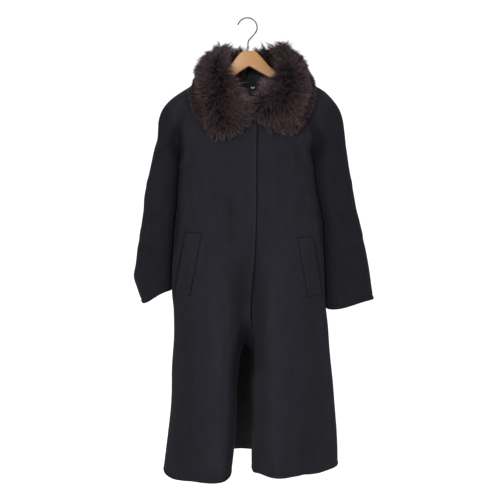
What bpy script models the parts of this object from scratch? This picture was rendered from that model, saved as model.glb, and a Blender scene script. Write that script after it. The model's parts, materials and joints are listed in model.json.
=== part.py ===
"""Long raglan coat with a fur collar, hanging on a wooden hanger.

Metres, +Z up, the coat's front towards -Y. The origin is the point under the top of the hook's arc,
where a rail carries it. "Right" and "left" are the wearer's: right is at -X.
Tables hold millimetres, and thousandths where a column is a share or an angle.
"""

import math
from itertools import product

import bmesh
import bpy
import numpy as np

MM = 0.001
RIGHT, LEFT = -1, 1

# Cloth
WALL = 3.0 * MM  # wool and lining together
SEAM = 0.3 * MM  # between two pieces that are sewn together
ARMHOLE_SPREAD = 1.0 * MM  # between body and sleeve at the underarm
ROUNDING = 2.6  # exponent of the superellipse that the coat's sections follow
ARM_SQUARENESS = 0.85
ARMHOLE_TURN = 52  # degrees round the body that the front reaches at the armhole's top
ARMHOLE_OPENING = 62  # degrees of a sleeve's section that stay open there, on both sides of its inner line
PARTING_SHARE = 0.6  # of the armhole's height over which the shoulders become body and sleeves
SEAM_EASE = 0.2  # of a sleeve's width over which it is eased to the body's seam
ARMHOLE_TOP = -330 * MM  # below this height the sleeve parts from the body
UNDERARM = -420 * MM
HEM_BACK = -1246 * MM

# Closure
LAYER_STEP = 5.5 * MM  # how far the lower front lies behind the upper one
LAYER_REACH, LAYER_BLEND = 12 * MM, 42 * MM
ROLL_START = -820 * MM

# Pockets
WELT_THICKNESS = 2.6 * MM
WELT_CLEARANCE = 0.9 * MM

# Fur collar
COLLAR_CLEARANCE = 0.8 * MM
COLLAR_SECTION_POINTS = 18
WELT_ROWS, WELT_COLUMNS = 9, 5
HOOK_ARC_POINTS = 22
COLLAR_SQUARENESS = 0.8
COLLAR_TAPER = 0.32  # how much thinner the fur is at its lower edge

# Hanger
HANGER_THICKNESS = 12 * MM
HANGER_EDGE = 2.5 * MM
HANGER_TILT = math.radians(1.6)
HANGER_CENTRE = 3.1 * MM
WIRE = 3.5 * MM
HOOK_RADIUS = 27.2 * MM  # of the wire's centreline

# Meshes
FRONT_COLUMNS, BACK_COLUMNS, SLEEVE_COLUMNS = 16, 13, 22
YOKE_ROWS, ARMHOLE_ROWS, SKIRT_ROWS, ARM_ROWS = 8, 6, 15, 11

NAVY = (0.022, 0.022, 0.030)
FUR = (0.035, 0.022, 0.024)
MAPLE = (0.58, 0.36, 0.17)
STEEL = (0.60, 0.60, 0.60)


def table(names, rows):
    """Rows of millimetres as a dictionary of columns in metres."""
    return {name: np.array(column) * MM for name, column in zip(names.split(), zip(*rows))}


# Outside of the shoulders, where body and sleeves are one outline
SHOULDERS = table("z right left centre front_right front_left back", [
    (-147, -74, 105, 16, 48, 48, 56),
    (-165, -108, 140, 16, 55, 55, 60),
    (-190, -154, 187, 16, 62, 62, 64),
    (-205, -180, 212, 16, 66, 66, 66),
    (-220, -204, 229, 16, 69, 69, 68),
    (-238, -225, 245, 16, 72, 72, 70),
    (-255, -238, 256, 16, 74, 74, 72),
    (-273, -246, 263, 16, 75, 75, 73),
    (-290, -250, 267, 16, 76, 76, 74),
    (-313, -251, 270, 16, 78, 78, 75),
    (-343, -253, 274, 16, 80, 80, 75),
    (-370, -261, 277, 16, 81, 81, 75),
])

# Outside of the body below the shoulders
BODY = table("z right left centre front_right front_left back", [
    (-330, -190, 176, 16, 79, 79, 75),
    (-370, -190, 181, 15, 80, 80, 75),
    (-420, -190, 187, 15, 81, 81, 76),
    (-470, -194, 192, 14, 82, 82, 77),
    (-520, -197, 202, 13, 83, 83, 79),
    (-570, -202, 211, 12, 84, 84, 81),
    (-630, -206, 214, 11, 85, 84, 84),
    (-700, -211, 216, 10, 86, 84, 87),
    (-760, -210, 217, 9, 87, 84, 89),
    (-800, -205, 218, 9, 87, 84, 90),
    (-860, -205, 224, 8, 88, 83, 92),
    (-950, -209, 232, 8, 89, 82, 97),
    (-1060, -213, 242, 7, 92, 81, 102),
    (-1150, -222, 249, 6, 95, 81, 106),
    (-1240, -234, 252, 5, 98, 81, 110),
])

# Sleeves below the shoulders: outer side, gap to the body, depths from the hanger's plane
SLEEVES = table("z right_out right_gap left_out left_gap right_front right_back left_front left_back", [
    (-330, -252, 2, 271, 2, 74, 72, 74, 72),
    (-370, -260, 2, 277, 2, 73, 72, 73, 72),
    (-420, -270, 2, 284, 2, 71, 71, 71, 71),
    (-460, -279, 2, 291, 2, 69, 70, 69, 70),
    (-500, -287, 2, 298, 2, 66, 68, 66, 68),
    (-540, -290, 2, 305, 2, 63, 66, 63, 65),
    (-584, -297, 2, 316, 2, 60, 63, 59, 62),
    (-634, -305, 2, 327, 2, 56, 59, 55, 58),
    (-684, -311, 2, 336, 2, 52, 55, 51, 53),
    (-724, -317, 2, 342, 2, 48, 51, 47, 49),
    (-755, -307, 3, 347, 2.4, 46, 48, 44, 46),
    (-796, -293, 6, 355, 3.4, 43, 45, 41, 43),
    (-816, -287, 8, 360, 4, 42, 43, 39, 41),
])
# Height of the cuff's edge at the outer and inner side of each sleeve
CUFFS = {RIGHT: (-794 * MM, -760 * MM), LEFT: (-784 * MM, -812 * MM)}

# Where the raglan seams run, seen from the front; the back ones mirror them
RAGLAN = table("z right left", [
    (-150, -70, 101),
    (-190, -112, 131),
    (-245, -147, 148),
    (-290, -172, 160),
    (-330, -187, 174),
    (-370, -190, 181),
])

# Neckline of the fronts: its height by the distance from the centre line
NECKLINE = table("z across", [(-240, 0), (-222, 30), (-192, 55), (-166, 72), (-150, 86), (-148, 120)])

# Free edges of the fronts; below ROLL_START the right one rolls inwards
FREE_EDGES = table("z right left", [
    (-220, 27, -22),
    (-390, 24, -22),
    (-550, 23, -22),
    (-700, 16, -18),
    (-750, 11, -6),
    (-805, 8, 10),
    (-840, 9.0, 10.2),
    (-900, 12, 9.6),
    (-1000, 22, 10.2),
    (-1150, 42, 10.6),
    (-1260, 60, 10.8),
])
# Hems of the fronts, by the share of the way from the free edge to the side
HEMS = table("share right left", [
    (0, -1236, -1254),
    (150, -1248, -1257),
    (350, -1260, -1258),
    (600, -1264, -1251),
    (800, -1263, -1244),
    (1000, -1257, -1241),
])
# The roll: where it starts, its radius, and its angle in degrees (not a length)
ROLL = table("z start radius angle", [
    (-820, 0, 30, 0),
    (-860, -40, 30, 34e3),
    (-920, -52, 30, 66e3),
    (-1000, -58, 30, 86e3),
    (-1150, -62, 30, 94e3),
    (-1260, -77, 30, 96e3),
])
# Hollow between the fronts: its depth at the centre line
HOLLOW = table("z depth", [(-700, 0), (-780, 3), (-860, 10), (-1000, 25), (-1150, 38), (-1260, 45)])
HOLLOW_WIDTH = 62 * MM

# Soft flutes of the back, deepest at the hem
BACK_FLUTES = table("place width depth", [(-120, 40, 13), (-20, 46, 15), (95, 42, 12)])
BACK_FLUTE_TOP = -560 * MM
BACK_FLUTE_FALL = 6 * MM  # how far the cloth between the flutes lies in

# Corners of the welts: across, height, for the upper inner, upper outer, lower outer and lower inner
WELTS = {
    RIGHT: ((-122, -597), (-167, -594), (-197, -762), (-155, -768)),
    LEFT: ((134, -608), (177, -607), (202, -766), (162, -771)),
}

# The collar's sections round the neck: turn in degrees, foot, lower edge, fur's
# thickness, how far its roll rises above the neck and how far it leans over it
COLLAR_RIGHT = table("turn foot bottom thick rise lean", [
    (0.1e3, -240, -284, 24, 2, 0),
    (0.8e3, -238, -306, 34, 4, 0),
    (2.5e3, -231, -321, 42, 8, 0),
    (5.5e3, -219, -334, 47, 12, 0),
    (9.5e3, -207, -343, 50, 17, 0),
    (14.5e3, -192, -348, 52, 24, 0),
    (20e3, -181, -340, 52, 31, 2),
    (26e3, -172, -315, 52, 39, 6),
    (33e3, -166, -276, 51, 48, 12),
    (42e3, -160, -238, 49, 56, 19),
    (55e3, -155, -205, 47, 64, 26),
    (72e3, -151, -184, 44, 71, 32),
    (90e3, -150, -174, 43, 78, 36),
    (110e3, -149, -178, 44, 90, 32),
    (130e3, -149, -196, 46, 99, 24),
    (150e3, -148, -218, 46, 104, 17),
    (166e3, -147, -235, 46, 105, 12),
    (180e3, -147, -240, 46, 105, 10),
])
COLLAR_LEFT = table("turn foot bottom thick rise lean", [
    (0.1e3, -240, -284, 24, 2, 0),
    (0.8e3, -238, -300, 34, 4, 0),
    (2.5e3, -231, -312, 42, 8, 0),
    (5.5e3, -219, -323, 47, 12, 0),
    (9.5e3, -207, -331, 50, 17, 0),
    (14.5e3, -192, -337, 52, 24, 0),
    (20e3, -181, -334, 52, 31, 3),
    (26e3, -172, -318, 51, 40, 8),
    (33e3, -166, -282, 50, 50, 15),
    (42e3, -160, -240, 48, 59, 23),
    (55e3, -155, -207, 46, 68, 31),
    (72e3, -151, -188, 44, 75, 37),
    (90e3, -150, -178, 43, 84, 41),
    (110e3, -149, -180, 44, 97, 38),
    (130e3, -149, -196, 46, 104, 28),
    (150e3, -148, -218, 46, 106, 18),
    (166e3, -147, -235, 46, 105, 12),
    (180e3, -147, -240, 46, 105, 10),
])

# Half outline of the wood, from the middle of its top to the arm's end and back under it
WOOD = table("across z", [
    (0, -92.0),
    (10, -92.2),
    (22, -95.0),
    (33, -107.0),
    (46, -122.5),
    (58, -137.5),
    (74, -151.5),
    (95, -161.5),
    (125, -174.0),
    (150, -184.7),
    (172, -196.2),
    (190, -206.1),
    (198, -210.9),
    (204, -215.6),
    (207, -222.0),
    (203, -230.0),
    (192, -231.5),
    (172, -222.5),
    (150, -212.0),
    (120, -198.0),
    (74, -177.5),
    (44, -161.0),
    (0, -134.2),
])

# Hook: the arc's angles in degrees from +X, then the bend down to the shank
HOOK_ARC_START, HOOK_ARC_END = 165, -25
HOOK_BEND = table("x z", [(21.5, -41.0), (12.0, -52.5), (4.0, -60.5), (1.4, -68.0)])
SHANK_FOOT = -91.7 * MM


def material(name, colour, roughness, metallic=0.0):
    made = bpy.data.materials.new(name)
    made.use_nodes = True
    shader = made.node_tree.nodes["Principled BSDF"]
    shader.inputs["Base Color"].default_value = (*colour, 1)
    shader.inputs["Roughness"].default_value = roughness
    shader.inputs["Metallic"].default_value = metallic
    made.diffuse_color = (*colour, 1)
    return made


def add_object(name, mesh, collection, finish):
    mesh.shade_smooth()
    mesh.set_sharp_from_angle(angle=math.radians(50))
    mesh.materials.append(finish)
    made = bpy.data.objects.new(name, mesh)
    collection.objects.link(made)
    return made


def value(rows, column, z, key="z"):
    """A table's column at a height (or another key), on a smooth curve through its rows."""
    keys, values = rows[key], rows[column]
    direction = np.sign(keys[-1] - keys[0])
    slopes = np.gradient(values, keys)
    i = int(np.clip(np.searchsorted(direction * keys, direction * z) - 1, 0, len(keys) - 2))
    step = keys[i + 1] - keys[i]
    t = float(np.clip((z - keys[i]) / step, 0, 1))
    return float(
        (1 + 2 * t) * (1 - t) ** 2 * values[i]
        + t * (1 - t) ** 2 * step * slopes[i]
        + t * t * (3 - 2 * t) * values[i + 1]
        + t * t * (t - 1) * step * slopes[i + 1]
    )


def smooth(t):
    t = np.clip(t, 0, 1)
    return t * t * (3 - 2 * t)


def power(x, exponent):
    return np.sign(x) * np.abs(x) ** exponent


def unit(vectors):
    return vectors / np.maximum(np.linalg.norm(vectors, axis=-1, keepdims=True), 1e-12)


def spread(points, count):
    """Points at equal distances along a polyline."""
    points = np.asarray(points)
    along = np.concatenate([[0], np.cumsum(np.linalg.norm(np.diff(points, axis=0), axis=1))])
    places = np.linspace(0, along[-1], count)
    return np.stack([np.interp(places, along, points[:, k]) for k in range(3)], axis=1)


def side_name(side):
    return "right" if side == RIGHT else "left"


def section_point(form, z, turn, side):
    """A point of the outside; turn is 0 at the centre front, 90 at the side, 180 at the centre back."""
    centre = value(form, "centre", z)
    half = abs(value(form, side_name(side), z) - centre)
    angle = math.radians(turn)
    x = centre + side * half * power(math.sin(angle), 2 / ROUNDING)
    facing = math.cos(angle)
    depth = value(form, f"front_{side_name(side)}", z) if facing > 0 else value(form, "back", z)
    y = -depth * power(facing, 2 / ROUNDING)
    if facing > 0:
        y += value(HOLLOW, "depth", z) * math.exp(-(((x - centre) / HOLLOW_WIDTH) ** 2)) * facing
    else:
        y += back_flute(x, z) * min(1.0, -3 * facing)
    return np.array((x, y, z))


def back_flute(x, z):
    """How far the back's soft flutes move it out."""
    fall = smooth((BACK_FLUTE_TOP - z) / (BACK_FLUTE_TOP - HEM_BACK))
    waves = sum(
        depth * math.exp(-(((x - place) / width) ** 2))
        for place, width, depth in zip(*(BACK_FLUTES[k] for k in ("place", "width", "depth")))
    )
    return fall * (waves - BACK_FLUTE_FALL)


def turn_at(form, z, x, side):
    """The turn at which a front section reaches x."""
    centre = value(form, "centre", z)
    share = side * (x - centre) / abs(value(form, side_name(side), z) - centre)
    return math.degrees(math.asin(float(np.clip(power(share, ROUNDING / 2), -1, 1))))


def raglan_turn(z, side):
    return turn_at(SHOULDERS, z, value(RAGLAN, side_name(side), z), side)


def section(form, z, first, last, side, count=160):
    return np.array([section_point(form, z, turn, side) for turn in np.linspace(first, last, count)])


def armhole_share(z):
    """0 where the sleeve starts to part from the body, 1 at the underarm."""
    return float(np.clip((ARMHOLE_TOP - z) / (ARMHOLE_TOP - UNDERARM), 0, 1))


def parting(z):
    """How far the shoulders' outline has changed to body and sleeves apart."""
    return float(smooth(armhole_share(z) / PARTING_SHARE))


def armhole_turn(z):
    """How far round the body's section the front reaches beside the armhole."""
    return ARMHOLE_TURN + (90 - ARMHOLE_TURN) * armhole_share(z) ** 0.8


def layered(points, side):
    """The fronts at the closure: the left one steps behind the right one, whose edge rolls inwards."""
    points = points.copy()
    for point in points:
        x, z = point[0], point[2]
        if side == LEFT:
            reach = value(FREE_EDGES, "right" if z > ROLL_START else "left", z)
            point[1] += LAYER_STEP * smooth((LAYER_REACH + LAYER_BLEND + reach - x) / LAYER_BLEND)
        elif z < ROLL_START:
            start, radius = value(ROLL, "start", z), value(ROLL, "radius", z)
            limit = math.radians(max(value(ROLL, "angle", z), 0.0))
            over = x - start
            if over > 0 and limit > 0:
                angle = min(over / radius, limit)
                rest = over - radius * angle
                point[0] = start + radius * math.sin(angle) + rest * math.cos(angle)
                point[1] += radius * (1 - math.cos(angle)) + rest * math.sin(angle)
    return points


def front_row(z, side, count, neck_share=None):
    """One row of a front, from its free edge to its seam."""
    edge = value(FREE_EDGES, side_name(side), z)
    if neck_share is not None:
        top_edge = value(FREE_EDGES, side_name(side), NECKLINE["z"][0])
        top_seam = RAGLAN[side_name(side)][0]
        middle = SHOULDERS["centre"][0]
        dense = []
        for share in np.linspace(0, 1, 120):
            across = abs(top_edge + share * (top_seam - top_edge) - middle)
            neck = value(NECKLINE, "z", across, key="across")
            height = neck + neck_share * (ARMHOLE_TOP - neck)
            low = value(FREE_EDGES, side_name(side), height)
            x = low + share * (value(RAGLAN, side_name(side), height) - low)
            dense.append(section_point(SHOULDERS, height, turn_at(SHOULDERS, height, x, side), side))
        return spread(layered(np.array(dense), side), count)
    share = parting(z)
    body = section(BODY, z, turn_at(BODY, z, edge, side), armhole_turn(z), side)
    row = spread(layered(body, side), count)
    if share < 1:
        yoke = section(SHOULDERS, z, turn_at(SHOULDERS, z, edge, side), raglan_turn(z, side), side)
        row = share * row + (1 - share) * spread(layered(yoke, side), count)
    return row


def back_row(z, side, count):
    """One row of a half of the back, from its seam to the centre back."""
    if z > ARMHOLE_TOP:
        return spread(section(SHOULDERS, z, 180 - raglan_turn(z, side), 180, side), count)
    share = parting(z)
    row = spread(section(BODY, z, 180 - armhole_turn(z), 180, side), count)
    if share < 1:
        yoke = section(SHOULDERS, z, 180 - raglan_turn(z, side), 180, side)
        row = share * row + (1 - share) * spread(yoke, count)
    return row


YOKE = np.linspace(RAGLAN["z"][0], ARMHOLE_TOP, YOKE_ROWS + 1)
ARMHOLE = np.linspace(ARMHOLE_TOP, UNDERARM, ARMHOLE_ROWS + 1)[1:]


def front_grid(side):
    """A front's outside, as rows of points from the neckline to the hem."""
    count = FRONT_COLUMNS
    rows = [front_row(z, side, count, k / YOKE_ROWS) for k, z in enumerate(YOKE)]
    rows += [front_row(z, side, count) for z in ARMHOLE]
    for k in range(1, SKIRT_ROWS + 1):
        row = front_row(UNDERARM + k / SKIRT_ROWS * (HEM_BACK - UNDERARM), side, count)
        for j, point in enumerate(row):
            hem = value(HEMS, side_name(side), j / (count - 1), key="share")
            point[2] = UNDERARM + k / SKIRT_ROWS * (hem - UNDERARM)
        rows.append(row)
    return np.array(rows)


def half_back_grid(side):
    count = BACK_COLUMNS
    rows = [back_row(z, side, count) for z in YOKE]
    rows += [back_row(z, side, count) for z in ARMHOLE]
    for k in range(1, SKIRT_ROWS + 1):
        row = back_row(UNDERARM + k / SKIRT_ROWS * (HEM_BACK - UNDERARM), side, count)
        for j, point in enumerate(row):
            outer = (1 - j / (count - 1)) ** 2
            hem = HEM_BACK + outer * (HEMS[side_name(side)][-1] - HEM_BACK)
            point[2] = UNDERARM + k / SKIRT_ROWS * (hem - UNDERARM)
        rows.append(row)
    return np.array(rows)


def arm_point(z, angle, side):
    """A point of a sleeve's section; angle is 0 at its inner side and 90 at its front."""
    name = side_name(side)
    outer = value(SLEEVES, f"{name}_out", z)
    inner = value(BODY, name, z) + side * value(SLEEVES, f"{name}_gap", z)
    front, back = value(SLEEVES, f"{name}_front", z), value(SLEEVES, f"{name}_back", z)
    turn = math.radians(angle)
    x = (outer + inner) / 2 - side * abs(outer - inner) / 2 * power(math.cos(turn), ARM_SQUARENESS)
    y = (back - front) / 2 - (front + back) / 2 * power(math.sin(turn), ARM_SQUARENESS)
    return np.array((x, y, z))


def sleeve_grid(side, front_seam, back_seam):
    """A sleeve's outside, from the neckline to the cuff; its seams follow the body's."""
    count = SLEEVE_COLUMNS + 1
    rows = []
    for z in YOKE:
        turn = raglan_turn(z, side)
        rows.append(spread(section(SHOULDERS, z, turn, 180 - turn, side), count))
    for z in ARMHOLE:
        turn, opening = raglan_turn(z, side), ARMHOLE_OPENING * (1 - armhole_share(z))
        yoke = spread(section(SHOULDERS, z, turn, 180 - turn, side), count)
        angles = np.linspace(opening, 360 - opening, 160)
        arm = spread(np.array([arm_point(z, angle, side) for angle in angles]), count)
        rows.append(parting(z) * arm + (1 - parting(z)) * yoke)
    for k, row in enumerate(rows):
        shift = np.array((side * ARMHOLE_SPREAD * armhole_share(row[0][2]), 0, 0))
        ends = front_seam[k] + shift - row[0], back_seam[k] + shift - row[-1]
        for j in range(count):
            share = j / (count - 1)
            row[j] += ends[0] * max(0, 1 - share / SEAM_EASE) ** 2
            row[j] += ends[1] * max(0, 1 - (1 - share) / SEAM_EASE) ** 2
    outer_hem, inner_hem = CUFFS[side]
    for k in range(1, ARM_ROWS + 1):
        row = []
        for angle in np.linspace(0, 360, 161):
            inward = (1 + power(math.cos(math.radians(angle)), ARM_SQUARENESS)) / 2
            hem = outer_hem + smooth(inward) * (inner_hem - outer_hem)
            row.append(arm_point(UNDERARM + k / ARM_ROWS * (hem - UNDERARM), angle, side))
        rows.append(spread(row, count))
    return np.array(rows)


def outward(grid, sign):
    """Unit normals of a grid of points, from its rows and columns."""
    return unit(sign * np.cross(np.gradient(grid, axis=0), np.gradient(grid, axis=1)))


def inset(points, normals):
    return points - WALL * normals


def pulled_in(grid, column, towards):
    """How far a seam's column moves into its own piece, so that the seam keeps its gap."""
    return unit(grid[:, towards] - grid[:, column]) * SEAM / 2


def cloth_wall(name, outer, inner, collection, finish, tube_from=None):
    """A closed wall between two grids of points; from the row tube_from on it closes into a tube."""
    mesh = bmesh.new()

    def layer(points):
        rows = [[mesh.verts.new(point) for point in row] for row in points]
        if tube_from is not None:
            for row in rows[tube_from:]:
                mesh.verts.remove(row.pop())
                row.append(row[0])
        return rows

    outside, inside = layer(outer), layer(inner)
    twin = {a: b for row, other in zip(outside, inside) for a, b in zip(row, other)}
    for i, j in product(range(len(outside) - 1), range(len(outside[0]) - 1)):
        corners = [outside[i][j], outside[i + 1][j], outside[i + 1][j + 1], outside[i][j + 1]]
        mesh.faces.new(corners)
        mesh.faces.new([twin[corner] for corner in reversed(corners)])
    borders = [edge.verts[:] for edge in mesh.edges if edge.is_boundary and edge.verts[0] in twin]
    for a, b in borders:
        mesh.faces.new([a, b, twin[b], twin[a]])
    return finished(name, mesh, collection, finish)


def lofted(name, rings, collection, finish):
    """A closed body through closed rings of equal length, with filled ends."""
    mesh = bmesh.new()
    rows = [[mesh.verts.new(point) for point in ring] for ring in rings]
    count = len(rows[0])
    for i, j in product(range(len(rows) - 1), range(count)):
        after = (j + 1) % count
        mesh.faces.new([rows[i][j], rows[i + 1][j], rows[i + 1][after], rows[i][after]])
    mesh.faces.new(rows[0])
    mesh.faces.new(list(reversed(rows[-1])))
    return finished(name, mesh, collection, finish)


def finished(name, mesh, collection, finish):
    bmesh.ops.triangulate(mesh, faces=mesh.faces[:])
    bmesh.ops.recalc_face_normals(mesh, faces=mesh.faces[:])
    data = bpy.data.meshes.new(name)
    mesh.to_mesh(data)
    mesh.free()
    return add_object(name, data, collection, finish)


def make_coat(collection, wool):
    """Fronts, back and sleeves, with their seams 0.3 mm apart."""
    fronts = {side: front_grid(side) for side in (RIGHT, LEFT)}
    halves = {side: half_back_grid(side) for side in (RIGHT, LEFT)}
    sleeves = {side: sleeve_grid(side, fronts[side][:, -1], halves[side][:, 0]) for side in (RIGHT, LEFT)}
    faces = {key: outward(fronts[key], key) for key in fronts}
    back_faces = {key: outward(halves[key], key) for key in halves}
    arm_faces = {key: outward(sleeves[key], key) for key in sleeves}
    seam_rows = YOKE_ROWS + 1
    top_rows = seam_rows + ARMHOLE_ROWS
    for side in (RIGHT, LEFT):
        front, back, arm = faces[side], back_faces[side], arm_faces[side]
        for k in range(top_rows - 1):
            own = armhole_share(fronts[side][k, -1, 2]) if k >= seam_rows else 0.0
            for body, j, end in ((front, -1, 0), (back, 0, -1)):
                shared = unit(body[k, j] + arm[k, end])
                body[k, j] = unit(own * body[k, j] + (1 - own) * shared)
                arm[k, end] = unit(own * arm[k, end] + (1 - own) * shared)
        shared = unit(front[top_rows - 1:, -1] + back[top_rows - 1:, 0])
        front[top_rows - 1:, -1], back[top_rows - 1:, 0] = shared, shared
        closed = unit(arm[top_rows - 1:, 0] + arm[top_rows - 1:, -1])
        arm[top_rows - 1:, 0], arm[top_rows - 1:, -1] = closed, closed
        middle = back[:, -1].copy()
        middle[:, 0] = 0
        back[:, -1] = unit(middle)
    for side in (RIGHT, LEFT):
        grid, inner = fronts[side].copy(), inset(fronts[side], faces[side])
        shift = pulled_in(grid, -1, -2)
        grid[:, -1] += shift
        inner[:, -1] += shift
        cloth_wall(f"front_{side_name(side)}", grid, inner, collection, wool)
        grid, inner = sleeves[side].copy(), inset(sleeves[side], arm_faces[side])
        for column, towards in ((0, 1), (-1, -2)):
            shift = pulled_in(grid, column, towards)
            shift[top_rows - 1:] = 0
            grid[:, column] += shift
            inner[:, column] += shift
        cloth_wall(f"sleeve_{side_name(side)}", grid, inner, collection, wool, tube_from=top_rows - 1)
    whole = np.concatenate([halves[RIGHT], halves[LEFT][:, -2::-1]], axis=1)
    inner = np.concatenate([
        inset(halves[RIGHT], back_faces[RIGHT]),
        inset(halves[LEFT], back_faces[LEFT])[:, -2::-1],
    ], axis=1)
    for column, towards in ((0, 1), (-1, -2)):
        shift = pulled_in(whole, column, towards)
        whole[:, column] += shift
        inner[:, column] += shift
    cloth_wall("back", whole, inner, collection, wool)


def front_surface(x, z, side):
    """A point of a front's outside below the armhole, and its outward direction."""
    def at(x, z):
        return layered(section_point(BODY, z, turn_at(BODY, z, x, side), side)[None], side)[0]

    step = 2 * MM
    across, down = at(x + step, z) - at(x - step, z), at(x, z - step) - at(x, z + step)
    return at(x, z), unit(np.cross(down, across))


def make_welt(side, collection, wool):
    """A slanted welt that lies on its front."""
    corners = np.array(WELTS[side]) * MM
    low, high = [], []
    for down in np.linspace(0, 1, WELT_ROWS):
        inner = corners[0] + down * (corners[3] - corners[0])
        outer = corners[1] + down * (corners[2] - corners[1])
        places = [inner + across * (outer - inner) for across in np.linspace(0, 1, WELT_COLUMNS)]
        points = [front_surface(x, z, side) for x, z in places]
        low.append([point + WELT_CLEARANCE * normal for point, normal in points])
        high.append([point + (WELT_CLEARANCE + WELT_THICKNESS) * normal for point, normal in points])
    cloth_wall(f"welt_{side_name(side)}", np.array(high), np.array(low), collection, wool)


def collar_ring(rows, turn, side):
    """The fur's closed section at one turn round the neck, from its foot over its top to its edge."""
    foot, bottom = value(rows, "foot", turn, key="turn"), value(rows, "bottom", turn, key="turn")
    thick, rise, lean = (value(rows, name, turn, key="turn") for name in ("thick", "rise", "lean"))
    ring = []
    for angle in np.linspace(0, 2 * math.pi, COLLAR_SECTION_POINTS, endpoint=False):
        down = 0.5 - 0.5 * power(math.cos(angle), COLLAR_SQUARENESS)
        height = 0.5 + 0.5 * power(math.sin(angle), COLLAR_SQUARENESS)
        z = foot + (bottom - foot) * down
        point, normal = shoulder_surface(z, turn, side)
        roll = (1 - down) ** 2 * height
        inwards = unit(point * (1, 1, 0) - (SHOULDERS["centre"][0], 0, 0))
        off = COLLAR_CLEARANCE + thick * height * (1 - COLLAR_TAPER * down * down)
        ring.append(point + off * normal + roll * (np.array((0, 0, rise)) - lean * inwards))
    return np.array(ring)


def shoulder_surface(z, turn, side):
    """A point of the shoulders' outside and its outward direction."""
    step, sweep = 2 * MM, 0.4
    down = section_point(SHOULDERS, z - step, turn, side) - section_point(SHOULDERS, z + step, turn, side)
    first, last = max(turn - sweep, 0.02), min(turn + sweep, 179.98)
    sideways = section_point(SHOULDERS, z, last, side) - section_point(SHOULDERS, z, first, side)
    return section_point(SHOULDERS, z, turn, side), unit(side * np.cross(down, sideways))


def make_collar(side, collection, fur):
    """One half of the collar: a loft through its sections, parted from the other half at both ends."""
    rows = COLLAR_RIGHT if side == RIGHT else COLLAR_LEFT
    turns = []
    for first, last in zip(rows["turn"][:-1], rows["turn"][1:]):
        turns += [first, (first + last) / 2]
    turns.append(rows["turn"][-1])
    rings = np.array([collar_ring(rows, turn, side) for turn in turns])
    middle = SHOULDERS["centre"][0]
    beyond = side * (rings[..., 0] - middle)
    rings[..., 0] = middle + side * np.maximum(beyond, SEAM / 2)
    return lofted(f"collar_{side_name(side)}", rings, collection, fur)


def make_hanger(collection, wood, steel):
    """The shaped wood and the wire hook above it."""
    right_half = np.stack([WOOD["across"], WOOD["z"]], axis=1)
    left_half = right_half[-2:0:-1] * (-1, 1)
    outline = bpy.data.curves.new("hanger_wood", "CURVE")
    outline.dimensions = "2D"
    outline.fill_mode = "BOTH"
    outline.extrude = HANGER_THICKNESS / 2 - HANGER_EDGE
    outline.bevel_depth = HANGER_EDGE
    outline.bevel_resolution = 1
    outline.offset = -HANGER_EDGE
    points = np.concatenate([right_half, left_half])
    spline = outline.splines.new("POLY")
    spline.points.add(len(points) - 1)
    spline.use_cyclic_u = True
    for place, (x, z) in zip(spline.points, points):
        place.co = (x, z, 0, 1)
    flat = bpy.data.objects.new("hanger_outline", outline)
    collection.objects.link(flat)
    bpy.context.view_layer.update()
    mesh = bpy.data.meshes.new_from_object(flat.evaluated_get(bpy.context.evaluated_depsgraph_get()))
    bpy.data.objects.remove(flat)
    cos, sin = math.cos(HANGER_TILT), math.sin(HANGER_TILT)
    pivot = WOOD["z"][0]
    for vertex in mesh.vertices:
        x, z, depth = vertex.co
        z -= pivot
        vertex.co = (x * cos - z * sin + HANGER_CENTRE, -depth, x * sin + z * cos + pivot)
    closed = bmesh.new()
    closed.from_mesh(mesh)
    bmesh.ops.remove_doubles(closed, verts=closed.verts[:], dist=0.00001)
    bpy.data.meshes.remove(mesh)
    finished("hanger_wood", closed, collection, wood)

    centre = np.array((0.0, -(HOOK_RADIUS - WIRE / 2)))
    route = [
        centre + HOOK_RADIUS * np.array((math.cos(angle), math.sin(angle)))
        for angle in np.radians(np.linspace(HOOK_ARC_START, HOOK_ARC_END, HOOK_ARC_POINTS))
    ]
    route += list(zip(HOOK_BEND["x"], HOOK_BEND["z"]))
    route.append((HOOK_BEND["x"][-1], SHANK_FOOT))
    wire = bpy.data.curves.new("hanger_hook", "CURVE")
    wire.dimensions = "3D"
    wire.bevel_depth = WIRE / 2
    wire.bevel_resolution = 2
    wire.use_fill_caps = True
    spline = wire.splines.new("POLY")
    spline.points.add(len(route) - 1)
    for place, (x, z) in zip(spline.points, route):
        place.co = (x, 0, z, 1)
    bent = bpy.data.objects.new("hook_wire", wire)
    collection.objects.link(bent)
    bpy.context.view_layer.update()
    mesh = bpy.data.meshes.new_from_object(bent.evaluated_get(bpy.context.evaluated_depsgraph_get()))
    bpy.data.objects.remove(bent)
    closed = bmesh.new()
    closed.from_mesh(mesh)
    bmesh.ops.remove_doubles(closed, verts=closed.verts[:], dist=0.00001)
    bpy.data.meshes.remove(mesh)
    finished("hanger_hook", closed, collection, steel)


def main():
    for old in list(bpy.data.objects):
        bpy.data.objects.remove(old)
    collection = bpy.data.collections.new("fur_collar_coat")
    bpy.context.scene.collection.children.link(collection)
    wool = material("navy_wool", NAVY, 0.95)
    fur = material("plum_brown_fur", FUR, 0.9)
    wood = material("hanger_maple", MAPLE, 0.5)
    steel = material("hook_steel", STEEL, 0.3, 1.0)
    make_coat(collection, wool)
    for side in (RIGHT, LEFT):
        make_welt(side, collection, wool)
        make_collar(side, collection, fur)
    make_hanger(collection, wood, steel)


main()
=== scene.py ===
"""Dresses the long raglan coat with a fur collar, on its wooden hanger.

Metres, +Z up, the coat's front towards -Y, the origin under the top of the hook's arc. "Right" and
"left" are the wearer's: right is at -X. Tables hold millimetres, and thousandths where a column is a
share or an angle.
"""

import json
import math

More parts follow.
